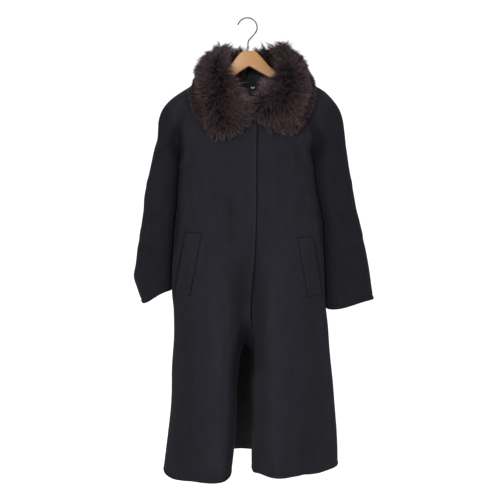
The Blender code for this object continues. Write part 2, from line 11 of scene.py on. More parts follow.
import bmesh
import bpy
import numpy as np
from bpy.props import FloatProperty, FloatVectorProperty, IntProperty, PointerProperty
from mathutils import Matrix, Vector

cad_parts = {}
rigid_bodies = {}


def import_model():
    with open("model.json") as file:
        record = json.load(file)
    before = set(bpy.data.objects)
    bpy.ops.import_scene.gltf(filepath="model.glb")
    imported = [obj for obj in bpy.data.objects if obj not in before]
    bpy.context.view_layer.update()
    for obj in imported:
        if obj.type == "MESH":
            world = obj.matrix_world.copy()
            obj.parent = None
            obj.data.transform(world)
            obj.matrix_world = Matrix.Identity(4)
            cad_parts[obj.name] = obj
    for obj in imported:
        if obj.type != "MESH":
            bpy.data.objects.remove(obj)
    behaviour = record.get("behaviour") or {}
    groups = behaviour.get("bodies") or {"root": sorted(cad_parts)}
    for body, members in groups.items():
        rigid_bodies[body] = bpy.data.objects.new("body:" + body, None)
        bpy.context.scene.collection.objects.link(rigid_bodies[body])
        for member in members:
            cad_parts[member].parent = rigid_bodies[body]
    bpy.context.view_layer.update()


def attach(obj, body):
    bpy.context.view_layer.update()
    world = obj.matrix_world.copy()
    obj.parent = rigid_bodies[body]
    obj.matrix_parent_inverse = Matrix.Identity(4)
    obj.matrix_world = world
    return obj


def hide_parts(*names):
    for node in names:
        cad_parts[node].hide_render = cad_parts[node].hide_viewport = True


bl_info = {
    "name": "Fur Collar Coat",
    "version": (1, 0, 0),
    "blender": (4, 5, 0),
    "location": "View3D > Sidebar > Coat",
    "description": "Makes the cloth, fur and hanger of a long coat around its solid model",
    "category": "Object",
}

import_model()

MM = 0.001
RIGHT, LEFT = -1, 1

# The forms of the solid model; the seams and the wire are finer and stouter here
WALL, SEAM = 3.0 * MM, 0.03 * MM
ARMHOLE_SPREAD = 1.0 * MM
ROUNDING, ARM_SQUARENESS = 2.6, 0.85
ARMHOLE_TURN, ARMHOLE_OPENING, ARMHOLE_BEND = 52, 62, 0.8
PARTING_SHARE, SEAM_EASE = 0.6, 0.2
ARMHOLE_TOP, UNDERARM, HEM_BACK = -330 * MM, -420 * MM, -1246 * MM
LAYER_STEP, LAYER_REACH, LAYER_BLEND = 5.5 * MM, 12 * MM, 42 * MM
ROLL_START = -820 * MM
TONGUE_Z, TONGUE_REACH = -868 * MM, 34 * MM  # where the left front's edge shows under the rolled one
TONGUE_DEPTH, TONGUE_EDGE = 7 * MM, 26 * MM
HOLLOW_WIDTH = 62 * MM
BACK_FLUTE_TOP, BACK_FLUTE_FALL, BACK_FLUTE_EASE = -560 * MM, 6 * MM, 3
COLLAR_CLEARANCE, COLLAR_SQUARENESS, COLLAR_TAPER = 0.8 * MM, 0.8, 0.32
HANGER_THICKNESS, HANGER_EDGE = 12 * MM, 3.2 * MM
HANGER_TILT, HANGER_CENTRE = math.radians(1.6), 3.1 * MM
WIRE, WIRE_SHOWN = 3.5 * MM, 4.1 * MM
HOOK_RADIUS, HOOK_ARC_START, HOOK_ARC_END = 27.2 * MM, 165, -25
SHANK_FOOT = -91.7 * MM

# How finely the cloth is made
FRONT_COLUMNS, BACK_COLUMNS, SLEEVE_COLUMNS = 84, 50, 80
YOKE_ROWS, ARMHOLE_ROWS, SKIRT_ROWS, ARM_ROWS = 28, 20, 96, 52
HEM_ROWS, HEM_SHARE, CUFF_SHARE, LAST_ROW = 16, 0.036, 0.075, 60  # finer rows along hems and cuffs
BAND_COLUMNS, BAND = 13, 24 * MM  # finer columns along the closure
EDGE = 1.4 * MM  # width of the last column and row, which makes a border read as rounded
ARC_POINTS, NECK_POINTS = 260, 200
WELT_ROWS, WELT_COLUMNS = 72, 28
FADE_ROWS, FADE_COLUMNS = 6, 5  # how soon folds begin inside a seam
TOP_ROWS = YOKE_ROWS + ARMHOLE_ROWS  # the row of the underarm

# Relief of the cloth: heights, and the place and width of each roll or sunk line
HEM_RISE, HEM_ROLL = 1.1 * MM, (4.5 * MM, 4 * MM)
HEM_GROOVE, HEM_LINE = 0.9 * MM, (12 * MM, 2.6 * MM)
EDGE_RISE, EDGE_BAND = 0.9 * MM, (11 * MM, 5 * MM)
EDGE_GROOVE, EDGE_LINE = 0.8 * MM, (13 * MM, 3.5 * MM)
FOLD_START, FOLD_END = (-0.12, 0.45), (1.12, 0.22)
SLANT = 40 * MM
LEAN_TO_BODY, LEAN_AT = 4.2 * MM, (338, 15)  # how far the back of a sleeve's inner side swells, and where
REST_BLEND = 26 * MM
WELT_WIDE, WELT_LONG, WELT_FOOT = 46, 168, 0.8 * MM
WELT_RIM, WELT_RISE, WELT_ROUND, WELT_LIP = 0.9 * MM, 2.7 * MM, 3.0, 0.5 * MM
RING_AT, RING_SIZE, RING_WIRE = (15.5 * MM, -184 * MM), (4.2 * MM, 3.0 * MM), 0.8 * MM

# Light and shade painted into the cloth's colour
TURNED_SHADE = 0.16  # painted shade: how much darker the cloth is drawn where it turns away to the sides
SLEEVE_SHADE = -0.26  # painted shade: the sleeves, turned away from the light beside the body, are drawn darker
FOLD_SHADE = 24  # painted shade in the folds: how much darker a metre's depth of fold would be
# Painted shade where a front faces upwards, on a sleeve's shoulder and on the rolled front edge, and the
# painted shadow of the closure's edge
UPWARD_SHADE, SHOULDER_SHADE, ROLL_SHADE, CLOSURE_SHADOW = 0.3, 0.35, 0.45, 0.55
# Painted shade on a sleeve's inner side and in the crease under the arm, and the painted shadow round a
# welt's rim
INNER_SHADE, CREASE_SHADE, RIM_SHADOW = 0.15, 0.35, 0.6

# Fur
LEAN, TIP_BEND, OUTLINE_EASE = 0.85, 11 * MM, 1.5 * MM  # how hair leans over, bends, and passes the outline
BACK_REACH = 120 * MM  # how far behind the rail the usual hair's tip may lie
PELT_DEPTH = 0.8  # the pelt's depth under the solid's outside, as a share of the hair's length
LEAST_PELT = 0.22  # the pelt's least share of the way from the collar's middle to its outside
RINGS, RING_POINTS, FRONT_RINGS = 72, 44, 40
RING_SPACING = 1.5  # rings lie closer together towards the front
LOBE_TURNS = (80, 45)  # the turn at which the combing of the lobes ends, and over how much
PARTING_WIDTH, PARTING_SHADE, CREST_WIDTH = 11 * MM, 27 * MM, 0.16
FRINGE_WIDTH, SADDLE_WIDTH, SADDLE_LIGHT = 0.2, 0.25, 1.1
STANDING = 0.35  # how much hair points away from the collar's middle
HAIR_RANGE = (0.5, 1.12)  # the shortest and longest hair, as shares of its length
LOCKS, BACK_DENSITY, DISORDER = 8, 0.8, 0.28
LOCK_ROOT, LOCK_TIP, LOCK_BEND, HAIR_WIDTH = 5.5 * MM, (1.6, 0.5), (8, 2), 0.9 * MM
HAIR_STEPS = ((0.0, 1.0), (0.55, 0.85), (1.0, 0.0))  # along a hair, and its width there
FRINGE = {RIGHT: 0.18, LEFT: 0.24}

# Stage
FLOOR_FRONT, FLOOR_BACK, FLOOR_SIDE = -4.5, 1.6, 5.0
SWEEP, BACKDROP_RISE = 1.2, 5.5
PHOTO_SIDE, PHOTO_FOCUS, PHOTO_SHIFT, SENSOR = 490, 714.3, -55, 36
CAMERA_AT = (-0.0067, -2.0, -0.4805)
LAMPS = (  # name, place, aim, size, watts
    ("key_light", (-0.9, -2.8, 0.3), (0, 0, -0.75), 1.0, 84),
    ("fill_light", (1.3, -2.8, -0.6), (0, 0, -0.95), 1.2, 34),
    ("top_light", (0.1, -0.5, 1.6), (0, 0, -0.5), 0.8, 14),
    ("back_light", (0, 1.5, 0.9), (0, 0, -0.7), 1.2, 45),
)
WORLD_LIGHT, FLOOR_GLOW, BACKDROP_GLOW = 0.45, 0.16, 0.97


def table(names, rows):
    """Rows of millimetres as a dictionary of columns in metres."""
    return {name: np.array(column) * MM for name, column in zip(names.split(), zip(*rows))}


SHOULDERS = table("z right left centre front_right front_left back", [
    (-147, -74, 105, 16, 48, 48, 56), (-165, -108, 140, 16, 55, 55, 60), (-190, -154, 187, 16, 62, 62, 64),
    (-205, -180, 212, 16, 66, 66, 66), (-220, -204, 229, 16, 69, 69, 68), (-238, -225, 245, 16, 72, 72, 70),
    (-255, -238, 256, 16, 74, 74, 72), (-273, -246, 263, 16, 75, 75, 73), (-290, -250, 267, 16, 76, 76, 74),
    (-313, -251, 270, 16, 78, 78, 75), (-343, -253, 274, 16, 80, 80, 75), (-370, -261, 277, 16, 81, 81, 75),
])
BODY = table("z right left centre front_right front_left back", [
    (-330, -190, 176, 16, 79, 79, 75), (-370, -190, 181, 15, 80, 80, 75), (-420, -190, 187, 15, 81, 81, 76),
    (-470, -194, 192, 14, 82, 82, 77), (-520, -197, 202, 13, 83, 83, 79), (-570, -202, 211, 12, 84, 84, 81),
    (-630, -206, 214, 11, 85, 84, 84), (-700, -211, 216, 10, 86, 84, 87), (-760, -210, 217, 9, 87, 84, 89),
    (-800, -205, 218, 9, 87, 84, 90), (-860, -205, 224, 8, 88, 83, 92), (-950, -209, 232, 8, 89, 82, 97),
    (-1060, -213, 242, 7, 92, 81, 102), (-1150, -222, 249, 6, 95, 81, 106),
    (-1240, -234, 252, 5, 98, 81, 110),
])
SLEEVES = table("z right_out right_gap left_out left_gap right_front right_back left_front left_back", [
    (-330, -252, 2, 271, 2, 74, 72, 74, 72), (-370, -260, 2, 277, 2, 73, 72, 73, 72),
    (-420, -270, 2, 284, 2, 71, 71, 71, 71), (-460, -279, 2, 291, 2, 69, 70, 69, 70),
    (-500, -287, 2, 298, 2, 66, 68, 66, 68), (-540, -290, 2, 305, 2, 63, 66, 63, 65),
    (-584, -297, 2, 316, 2, 60, 63, 59, 62), (-634, -305, 2, 327, 2, 56, 59, 55, 58),
    (-684, -311, 2, 336, 2, 52, 55, 51, 53), (-724, -317, 2, 342, 2, 48, 51, 47, 49),
    (-755, -307, 3, 347, 2.4, 46, 48, 44, 46), (-796, -293, 6, 355, 3.4, 43, 45, 41, 43),
    (-816, -287, 8, 360, 4, 42, 43, 39, 41),
])
SLEEVE_REST = {RIGHT: -762 * MM, LEFT: -800 * MM}  # where a sleeve leaves the body's side
CUFFS = {RIGHT: (-794 * MM, -760 * MM), LEFT: (-784 * MM, -812 * MM)}
RAGLAN = table("z right left", [
    (-150, -70, 101), (-190, -112, 131), (-245, -147, 148), (-290, -172, 160), (-330, -187, 174),
    (-370, -190, 181),
])
NECKLINE = table("z across", [(-240, 0), (-222, 30), (-192, 55), (-166, 72), (-150, 86), (-148, 120)])
FREE_EDGES = table("z right left", [
    (-220, 27, -22), (-390, 24, -22), (-550, 23, -22), (-700, 16, -18), (-750, 11, -6), (-805, 8, 10),
    (-840, 9.6, 6), (-868, 12.5, -5), (-880, 13.6, -7), (-894, 14.8, -3), (-908, 13.8, 3.5),
    (-921, 12.8, 8.6), (-936, 13.6, 9.9), (-1000, 22, 10.2), (-1150, 42, 10.6), (-1260, 60, 10.8),
])
HEMS = table("share right left", [
    (0, -1236, -1246), (25, -1238, -1255), (70, -1241.5, -1258.5), (150, -1248, -1258.5),
    (350, -1260, -1258), (600, -1264, -1251), (800, -1263, -1244), (1000, -1257, -1241),
])
ROLL = table("z start radius angle", [
    (-820, 0, 30, 0), (-860, -29, 30, 15000), (-885, -42, 30, 36000), (-920, -52, 30, 66000),
    (-1000, -58, 30, 86000), (-1150, -62, 30, 94000), (-1260, -77, 30, 96000),
])
HOLLOW = table("z depth", [(-700, 0), (-780, 3), (-860, 10), (-1000, 25), (-1150, 38), (-1260, 45)])
BACK_FLUTES = table("place width depth", [(-120, 40, 13), (-20, 46, 15), (95, 42, 12)])
WELTS = {
    RIGHT: ((-122, -597), (-167, -594), (-197, -762), (-155, -768)),
    LEFT: ((134, -608), (177, -607), (202, -766), (162, -771)),
}
COLLARS = {
    RIGHT: table("turn foot bottom thick rise lean", [
        (100, -240, -284, 24, 2, 0), (800, -238, -306, 34, 4, 0), (2500, -231, -321, 42, 8, 0),
        (5500, -219, -334, 47, 12, 0), (9500, -207, -343, 50, 17, 0), (14500, -192, -348, 52, 24, 0),
        (20000, -181, -340, 52, 31, 2), (26000, -172, -315, 52, 39, 6), (33000, -166, -276, 51, 48, 12),
        (42000, -160, -238, 49, 56, 19), (55000, -155, -205, 47, 64, 26), (72000, -151, -184, 44, 71, 32),
        (90000, -150, -174, 43, 78, 36), (110000, -149, -178, 44, 90, 32), (130000, -149, -196, 46, 99, 24),
        (150000, -148, -218, 46, 104, 17), (166000, -147, -235, 46, 105, 12),
        (180000, -147, -240, 46, 105, 10),
    ]),
    LEFT: table("turn foot bottom thick rise lean", [
        (100, -240, -284, 24, 2, 0), (800, -238, -300, 34, 4, 0), (2500, -231, -312, 42, 8, 0),
        (5500, -219, -323, 47, 12, 0), (9500, -207, -331, 50, 17, 0), (14500, -192, -337, 52, 24, 0),
        (20000, -181, -334, 52, 31, 3), (26000, -172, -318, 51, 40, 8), (33000, -166, -282, 50, 50, 15),
        (42000, -160, -240, 48, 59, 23), (55000, -155, -207, 46, 68, 31), (72000, -151, -188, 44, 75, 37),
        (90000, -150, -178, 43, 84, 41), (110000, -149, -180, 44, 97, 38),
        (130000, -149, -196, 46, 104, 28), (150000, -148, -218, 46, 106, 18),
        (166000, -147, -235, 46, 105, 12), (180000, -147, -240, 46, 105, 10),
    ]),
}
PARTINGS = {  # the dark lines from which the fur of each lobe falls away
    RIGHT: table("x z", [(-70, -150), (-68, -176), (-79, -230), (-70, -276), (-66, -304)]),
    LEFT: table("x z", [(58, -132), (112, -160), (113, -206), (92, -240), (52, -250)]),
}
# Fur that hides the wood's arms: x z size
TUFTS = {RIGHT: (-0.066, -0.135, 0.026), LEFT: (0.088, -0.135, 0.028)}
SHADES = {  # where shade is painted on the fur, or painted light if the share is negative: x z size share
    RIGHT: ((-0.075, -0.215, 0.030, 1.0), (-0.014, -0.272, 0.026, 0.5), (-0.058, -0.328, 0.028, -0.5)),
    LEFT: ((0.084, -0.118, 0.032, 1.3), (0.031, -0.250, 0.014, 0.9)),
}
# Longer, denser fur beside the wood, which is also painted lighter: x size more
SADDLES = {RIGHT: (-0.024, 0.018, 0.1), LEFT: (0.058, 0.026, 0.34)}
FUR_REACH = table("z right left", [
    (-83, -95, 122), (-90, -106, 138), (-98, -118, 147), (-112, -139, 158), (-125, -145, 166),
    (-138, -151, 173), (-152, -155, 175), (-178, -147, 172), (-205, -145, 177), (-218, -140, 180),
    (-245, -140, 168), (-272, -122, 154), (-299, -124, 146), (-325, -112, 144), (-345, -96, 130),
])
WOOD = table("across z", [
    (0, -90.6), (10, -91.6), (22, -95), (33, -107), (46, -122.5), (58, -137.5), (74, -151.5), (95, -161.5),
    (125, -174), (150, -184.7), (172, -196.2), (190, -206.1), (198, -210.9), (204, -215.6), (207, -222),
    (203, -230), (192, -231.5), (172, -222.5), (150, -212), (120, -198), (74, -177.5), (44, -161),
    (0, -134.2),
])
HOOK_BEND = table("x z", [(21.5, -41), (12, -52.5), (4, -60.5), (1.4, -68)])

# Soft folds of each panel: a straight line from its top to its bottom, its width, and how far it
# stands out (or lies in, if negative)
FRONT_FOLDS = table("top_x top_z bottom_x bottom_z width depth", [
    (-44, -490, -44, -625, 13, -4), (-40, -650, -26, -900, 13, -6.5), (-15, -665, -1, -728, 4, -2.2),
    (-79, -660, -86, -1300, 27, 6), (-138, -900, -150, -1300, 20, -4.5), (-186, -820, -200, -1300, 16, 3),
    (40, -650, 34, -960, 12, -6), (73, -610, 78, -1300, 30, 6), (120, -860, 128, -1300, 20, -3.6),
    (151, -1120, 154, -1290, 12, -5.5), (178, -620, 196, -1300, 18, 3.2),
    (-120, -330, -176, -436, 13, -4.5), (-150, -345, -186, -420, 9, 2.6),
    (-170, -420, -150, -585, 12, -3.2), (118, -330, 168, -436, 13, -4.5), (146, -345, 182, -420, 9, 2.6),
    (164, -420, 150, -585, 12, -3), (66, -380, 64, -600, 22, 2.4), (-96, -380, -92, -600, 24, 2.4),
    (96, -360, 108, -560, 14, -1.8),
])
BACK_FOLDS = table("top_x top_z bottom_x bottom_z width depth", [
    (-110, -250, -168, -420, 14, -2.4), (132, -250, 170, -420, 14, -2.4), (-70, -500, -74, -900, 24, -3),
    (30, -540, 36, -980, 22, -2.6), (140, -620, 150, -1100, 22, 2.6), (-165, -700, -178, -1240, 18, 2.4),
    (-34, -140, -14, -230, 8, -3.4), (-6, -150, 4, -210, 5, -1.6), (48, -140, 30, -230, 8, -3.2),
])
# Painted light and shade, lighter on fold ridges and darker in troughs, in the front gap and at the
# armholes: lines as above, with a share instead of a depth
PAINTED_SHADING = table("top_x top_z bottom_x bottom_z width depth", [
    (-80, -640, -84, -1260, 26, 200), (73, -600, 76, -1240, 28, 220), (-162, -560, -172, -1260, 22, -140),
    (172, -600, 182, -1200, 24, -120), (24, -630, 24, -980, 20, -300), (-20, -640, -20, -1010, 21, -360),
    (-15, -830, -15, -1000, 8, -500), (-44, -480, -44, -620, 12, -200), (-40, -960, -46, -1260, 12, -100),
    (150, -1110, 154, -1280, 12, -150), (-186, -306, -190, -400, 13, -900),
    (184, -306, 190, -410, 13, -900), (-189, -370, -196, -640, 8, -500), (188, -370, 208, -640, 8, -550),
    (-170, -590, -201, -766, 3.5, -550), (180, -604, 205, -770, 3.5, -400), (20, -250, 19, -620, 4, 200),
    (18, -620, 4, -810, 4, 180), (14, -855, 13, -1130, 6, -600), (-2, -830, 4, -970, 10, -620),
])
# Soft folds round a sleeve: the angle and height of their middle, how they slant, and their sizes
SLEEVE_FOLDS = table("angle z slant reach width depth", [
    (58000, -455, 500, 50000, 11, -4), (80000, -545, -600, 60000, 13, -4.2),
    (64000, -590, -300, 46000, 10, 3), (112000, -640, 500, 56000, 12, -3.6),
    (75000, -712, -400, 50000, 10, -2.8), (120000, -480, 600, 40000, 10, 2.4),
    (280000, -480, 500, 60000, 12, -3.6), (262000, -575, -600, 64000, 14, -4.2),
    (290000, -645, 400, 56000, 11, -3),
])


def value(rows, column, z, key="z"):
    """A table's column at heights (or other keys), on a smooth curve through its rows."""
    keys, values = rows[key], rows[column]
    if keys[0] > keys[-1]:
        keys, values = keys[::-1], values[::-1]
    slopes = np.gradient(values, keys)
    z = np.clip(z, keys[0], keys[-1])
    i = np.clip(np.searchsorted(keys, z, side="right") - 1, 0, len(keys) - 2)
    step = keys[i + 1] - keys[i]
    t = (z - keys[i]) / step
    return (
        (1 + 2 * t) * (1 - t) ** 2 * values[i]
        + t * (1 - t) ** 2 * step * slopes[i]
        + t * t * (3 - 2 * t) * values[i + 1]
        + t * t * (t - 1) * step * slopes[i + 1]
    )


def smooth(t):
    t = np.clip(t, 0, 1)
    return t * t * (3 - 2 * t)


def above(x, level, blend):
    """0 under a level, and 1 from a blend over it on."""
    return smooth((x - level) / blend)


def below(x, level, blend):
    return smooth((level - x) / blend)


def bump(x, place=0, width=1):
    """1 at a place, and soft round it."""
    return np.exp(-(((x - place) / width) ** 2))


def spot(x, z, place_x, place_z, wide):
    return np.exp(-((x - place_x) ** 2 + (z - place_z) ** 2) / wide**2)


def power(x, exponent):
    return np.sign(x) * np.abs(x) ** exponent


def unit(vectors):
    return vectors / np.maximum(np.linalg.norm(vectors, axis=-1, keepdims=True), 1e-12)


def along(points):
    """How far along a polyline each of its points lies."""
    return np.concatenate([[0], np.cumsum(np.linalg.norm(np.diff(points, axis=0), axis=1))])


def spread(points, count, band=0):
    """Points along a polyline at equal distances, closer at both ends and in a band at its start."""
    places = along(points)
    start = np.linspace(EDGE, BAND, band, endpoint=False) if band else []
    rest = np.linspace(BAND if band else EDGE, places[-1] - EDGE, count - 2 - band)
    wanted = np.concatenate([[0], start, rest, [places[-1]]])
    return np.stack([np.interp(wanted, places, points[:, k]) for k in range(3)], axis=1)


def side_name(side):
    return "right" if side == RIGHT else "left"


def section(form, z, turns, side):
    """Points of the outside; a turn is 0 at the centre front, 90 at the side, 180 at the centre back."""
    turns, z = np.broadcast_arrays(np.asarray(turns, float), np.asarray(z, float))
    name = side_name(side)
    centre = value(form, "centre", z)
    angle = np.radians(turns)
    x = centre + side * np.abs(value(form, name, z) - centre) * power(np.sin(angle), 2 / ROUNDING)
    facing = np.cos(angle)
    depth = np.where(facing > 0, value(form, f"front_{name}", z), value(form, "back", z))
    y = -depth * power(facing, 2 / ROUNDING)
    hollow = value(HOLLOW, "depth", z) * bump(x, centre, HOLLOW_WIDTH)
    flute = back_flute(x, z) * np.minimum(1, -BACK_FLUTE_EASE * facing)
    y += np.where(facing > 0, hollow * facing, flute)
    return np.stack([x, y, z], axis=-1)


def back_flute(x, z):
    fall = below(z, BACK_FLUTE_TOP, BACK_FLUTE_TOP - HEM_BACK)
    waves = sum(depth * bump(x, place, width) for place, width, depth in zip(*BACK_FLUTES.values()))
    return fall * (waves - BACK_FLUTE_FALL)


def turn_at(form, z, x, side):
    """The turn at which a front section reaches x."""
    centre = value(form, "centre", z)
    share = side * (x - centre) / np.abs(value(form, side_name(side), z) - centre)
    return np.degrees(np.arcsin(np.clip(power(share, ROUNDING / 2), -1, 1)))


def raglan_turn(z, side):
    return turn_at(SHOULDERS, z, value(RAGLAN, side_name(side), z), side)


def arc(form, z, first, last, side):
    return section(form, z, np.linspace(first, last, ARC_POINTS), side)


def armhole_share(z):
    return float(np.clip((ARMHOLE_TOP - z) / (ARMHOLE_TOP - UNDERARM), 0, 1))


def parting(z):
    return float(smooth(armhole_share(z) / PARTING_SHARE))


def armhole_turn(z):
    return ARMHOLE_TURN + (90 - ARMHOLE_TURN) * armhole_share(z) ** ARMHOLE_BEND


def layered(points, side):
    """The fronts at the closure: the left one steps behind the right one, whose edge rolls inwards."""
    x, y, z = points.T.copy()
    if side == LEFT:
        reach = np.where(z > ROLL_START, value(FREE_EDGES, "right", z), value(FREE_EDGES, "left", z))
        y = y + LAYER_STEP * below(x, LAYER_REACH + LAYER_BLEND + reach, LAYER_BLEND)
        y = y + TONGUE_DEPTH * bump(z, TONGUE_Z, TONGUE_REACH) * below(x, TONGUE_EDGE, TONGUE_EDGE)
        return np.stack([x, y, z], axis=1)
    start, radius = value(ROLL, "start", z), value(ROLL, "radius", z)
    limit = np.radians(np.maximum(value(ROLL, "angle", z), 0))
    over = np.where(z < ROLL_START, np.maximum(x - start, 0), 0)
    angle = np.minimum(over / radius, limit)
    rest = over - radius * angle
    rolled = start + radius * np.sin(angle) + rest * np.cos(angle)
    x = np.where((over > 0) & (limit > 0), rolled, x)
    y = y + np.where(limit > 0, radius * (1 - np.cos(angle)) + rest * np.sin(angle), 0)
    return np.stack([x, y, z], axis=1)


def front_row(z, side, count, neck_share=None):
    """One row of a front, from its free edge to its seam."""
    name = side_name(side)
    edge = value(FREE_EDGES, name, z)
    if neck_share is not None:
        top_edge = value(FREE_EDGES, name, NECKLINE["z"][0])
        share = np.linspace(0, 1, NECK_POINTS)
        across = np.abs(top_edge + share * (RAGLAN[name][0] - top_edge) - SHOULDERS["centre"][0])
        neck = value(NECKLINE, "z", across, key="across")
        height = neck + neck_share * (ARMHOLE_TOP - neck)
        low = value(FREE_EDGES, name, height)
        x = low + share * (value(RAGLAN, name, height) - low)
        points = section(SHOULDERS, height, turn_at(SHOULDERS, height, x, side), side)
        return spread(layered(points, side), count, BAND_COLUMNS)
    share = parting(z)
    row = layered(arc(BODY, z, turn_at(BODY, z, edge, side), armhole_turn(z), side), side)
    row = spread(row, count, BAND_COLUMNS)
    if share < 1:
        first, last = turn_at(SHOULDERS, z, edge, side), raglan_turn(z, side)
        yoke = layered(arc(SHOULDERS, z, first, last, side), side)
        row = share * row + (1 - share) * spread(yoke, count, BAND_COLUMNS)
    return row


def back_row(z, side, count):
    """One row of a half of the back, from its seam to the centre back."""
    if z > ARMHOLE_TOP:
        return spread(arc(SHOULDERS, z, 180 - raglan_turn(z, side), 180, side), count)
    share = parting(z)
    row = spread(arc(BODY, z, 180 - armhole_turn(z), 180, side), count)
    if share < 1:
        yoke = arc(SHOULDERS, z, 180 - raglan_turn(z, side), 180, side)
        row = share * row + (1 - share) * spread(yoke, count)
    return row


YOKE = np.linspace(RAGLAN["z"][0], ARMHOLE_TOP, YOKE_ROWS + 1)
ARMHOLE = np.linspace(ARMHOLE_TOP, UNDERARM, ARMHOLE_ROWS + 1)[1:]


def shares(rows, fine):
    """Shares of the way to a hem, closer together over its last part."""
    hem = np.linspace(1 - fine, 1, HEM_ROWS + 1)[1:]
    return np.concatenate([np.linspace(0, 1 - fine, rows)[1:], hem[:-1], [1 - fine / LAST_ROW, 1]])


SKIRT, ARM = shares(SKIRT_ROWS, HEM_SHARE), shares(ARM_ROWS, CUFF_SHARE)


def with_skirt(rows, row_at, hem, side, count):
    """A panel's rows, carried on from the underarm to its hem."""
    for down in SKIRT:
        row = row_at(UNDERARM + down * (HEM_BACK - UNDERARM), side, count)
        row[:, 2] = UNDERARM + down * (hem - UNDERARM)
        rows.append(row)
    return np.array(rows)


def front_grid(side):
    """A front's outside, as rows of points from the neckline to the hem."""
    count = FRONT_COLUMNS
    rows = [front_row(z, side, count, k / YOKE_ROWS) for k, z in enumerate(YOKE)]
    rows += [front_row(z, side, count) for z in ARMHOLE]
    hem = value(HEMS, side_name(side), np.linspace(0, 1, count), key="share")
    return with_skirt(rows, front_row, hem, side, count)


def half_back_grid(side):
    count = BACK_COLUMNS
    rows = [back_row(z, side, count) for z in (*YOKE, *ARMHOLE)]
    hem = HEM_BACK + np.linspace(1, 0, count) ** 2 * (HEMS[side_name(side)][-1] - HEM_BACK)
    return with_skirt(rows, back_row, hem, side, count)


def arm_section(z, angles, side):
    """Points of a sleeve's section; an angle is 0 at its inner side and 90 at its front."""
    name = side_name(side)
    outer = value(SLEEVES, f"{name}_out", z)
    inner = value(BODY, name, z) + side * value(SLEEVES, f"{name}_gap", z)
    front, back = value(SLEEVES, f"{name}_front", z), value(SLEEVES, f"{name}_back", z)
    turn = np.radians(angles)
    x = (outer + inner) / 2 - side * np.abs(outer - inner) / 2 * power(np.cos(turn), ARM_SQUARENESS)
    y = (back - front) / 2 - (front + back) / 2 * power(np.sin(turn), ARM_SQUARENESS)
    return np.stack([x, y, np.broadcast_to(z, x.shape)], axis=-1)


def sleeve_grid(side, front_seam, back_seam):
    """A sleeve's outside, from the neckline to the cuff; its seams follow the body's."""
    count = SLEEVE_COLUMNS + 1
    rows = []
    for z in YOKE:
        turn = raglan_turn(z, side)
        rows.append(spread(arc(SHOULDERS, z, turn, 180 - turn, side), count))
    for z in ARMHOLE:
        turn, opening = raglan_turn(z, side), ARMHOLE_OPENING * (1 - armhole_share(z))
        yoke = spread(arc(SHOULDERS, z, turn, 180 - turn, side), count)
        arm = spread(arm_section(z, np.linspace(opening, 360 - opening, ARC_POINTS), side), count)
        rows.append(parting(z) * arm + (1 - parting(z)) * yoke)
    share = np.linspace(0, 1, count)[:, None]
    for k, row in enumerate(rows):
        shift = np.array((side * ARMHOLE_SPREAD * armhole_share(row[0][2]), 0, 0))
        row += (front_seam[k] + shift - row[0]) * np.maximum(0, 1 - share / SEAM_EASE) ** 2
        row += (back_seam[k] + shift - row[-1]) * np.maximum(0, 1 - (1 - share) / SEAM_EASE) ** 2
    outer_hem, inner_hem = CUFFS[side]
    angles = np.linspace(0, 360, ARC_POINTS)
    inward = (1 + power(np.cos(np.radians(angles)), ARM_SQUARENESS)) / 2
    hem = outer_hem + smooth(inward) * (inner_hem - outer_hem)
    for down in ARM:
        rows.append(spread(arm_section(UNDERARM + down * (hem - UNDERARM), angles, side), count))
    return np.array(rows)


def outward(grid, sign):
    """Unit normals of a grid of points, from its rows and columns."""
    return unit(sign * np.cross(np.gradient(grid, axis=0), np.gradient(grid, axis=1)))


def fold_height(folds, x, z):
    """How far a panel's soft folds move its points out."""
    total = np.zeros_like(x)
    for top_x, top_z, bottom_x, bottom_z, width, depth in zip(*folds.values()):
        down = (top_z - z) / (top_z - bottom_z)
        off = (x - top_x - down * (bottom_x - top_x)) / width
        total += depth * (above(down, *FOLD_START) * below(down, *FOLD_END)) * bump(off)
    return total


def sleeve_folds(grid):
    """Soft folds round a sleeve, by the angle and height of each point."""
    degrees = np.linspace(0, 360, grid.shape[1])[None, :]
    total = np.zeros(grid.shape[:2])
    for angle, height, slant, reach, width, size in zip(*SLEEVE_FOLDS.values()):
        turn = (degrees - angle) / reach
        off = (grid[..., 2] - height - slant * SLANT * turn) / width
        total += size * bump(off) * bump(turn)
    return total


def hem_roll(grid):
    """The turned hem: a soft roll along the last centimetre, and the sunk line above it."""
    left = np.linalg.norm(np.diff(grid, axis=0), axis=-1)[::-1].cumsum(axis=0)[::-1]
    left = np.concatenate([left, left[-1:] * 0])
    return HEM_RISE * bump(left, *HEM_ROLL) - HEM_GROOVE * bump(left, *HEM_LINE)


def edge_band(grid):
    """The pressed band along a front's free edge."""
    off = np.linalg.norm(np.diff(grid, axis=1), axis=-1).cumsum(axis=1)
    off = np.concatenate([off[:, :1] * 0, off], axis=1)
    return EDGE_RISE * below(off, *EDGE_BAND) - EDGE_GROOVE * bump(off, *EDGE_LINE)


def unevenness(points, size):
    """A slow, shallow waviness, so that no panel is quite flat."""
    x, y, z = np.moveaxis(points, -1, 0)
    return size * (
        np.sin(31 * x + 9 * z + 4 * np.sin(7 * z))
        + 0.7 * np.sin(17 * z - 23 * y + 3 * np.sin(19 * x))
        + 0.5 * np.sin(53 * x - 37 * z + 1.3)
    )


def border_fade(grid):
    """1 inside a panel and 0 at its seams."""
    rows, columns = grid.shape[:2]
    down = np.arange(rows)[:, None] / FADE_ROWS
    right = np.arange(columns)[None, :] / FADE_COLUMNS
    return smooth(down) * smooth(right) * smooth(right[:, ::-1])


def coat_grids():
    """The outsides of fronts, half backs and sleeves, without folds."""
    sides = (RIGHT, LEFT)
    fronts, halves = {s: front_grid(s) for s in sides}, {s: half_back_grid(s) for s in sides}
    return fronts, halves, {s: sleeve_grid(s, fronts[s][:, -1], halves[s][:, 0]) for s in sides}


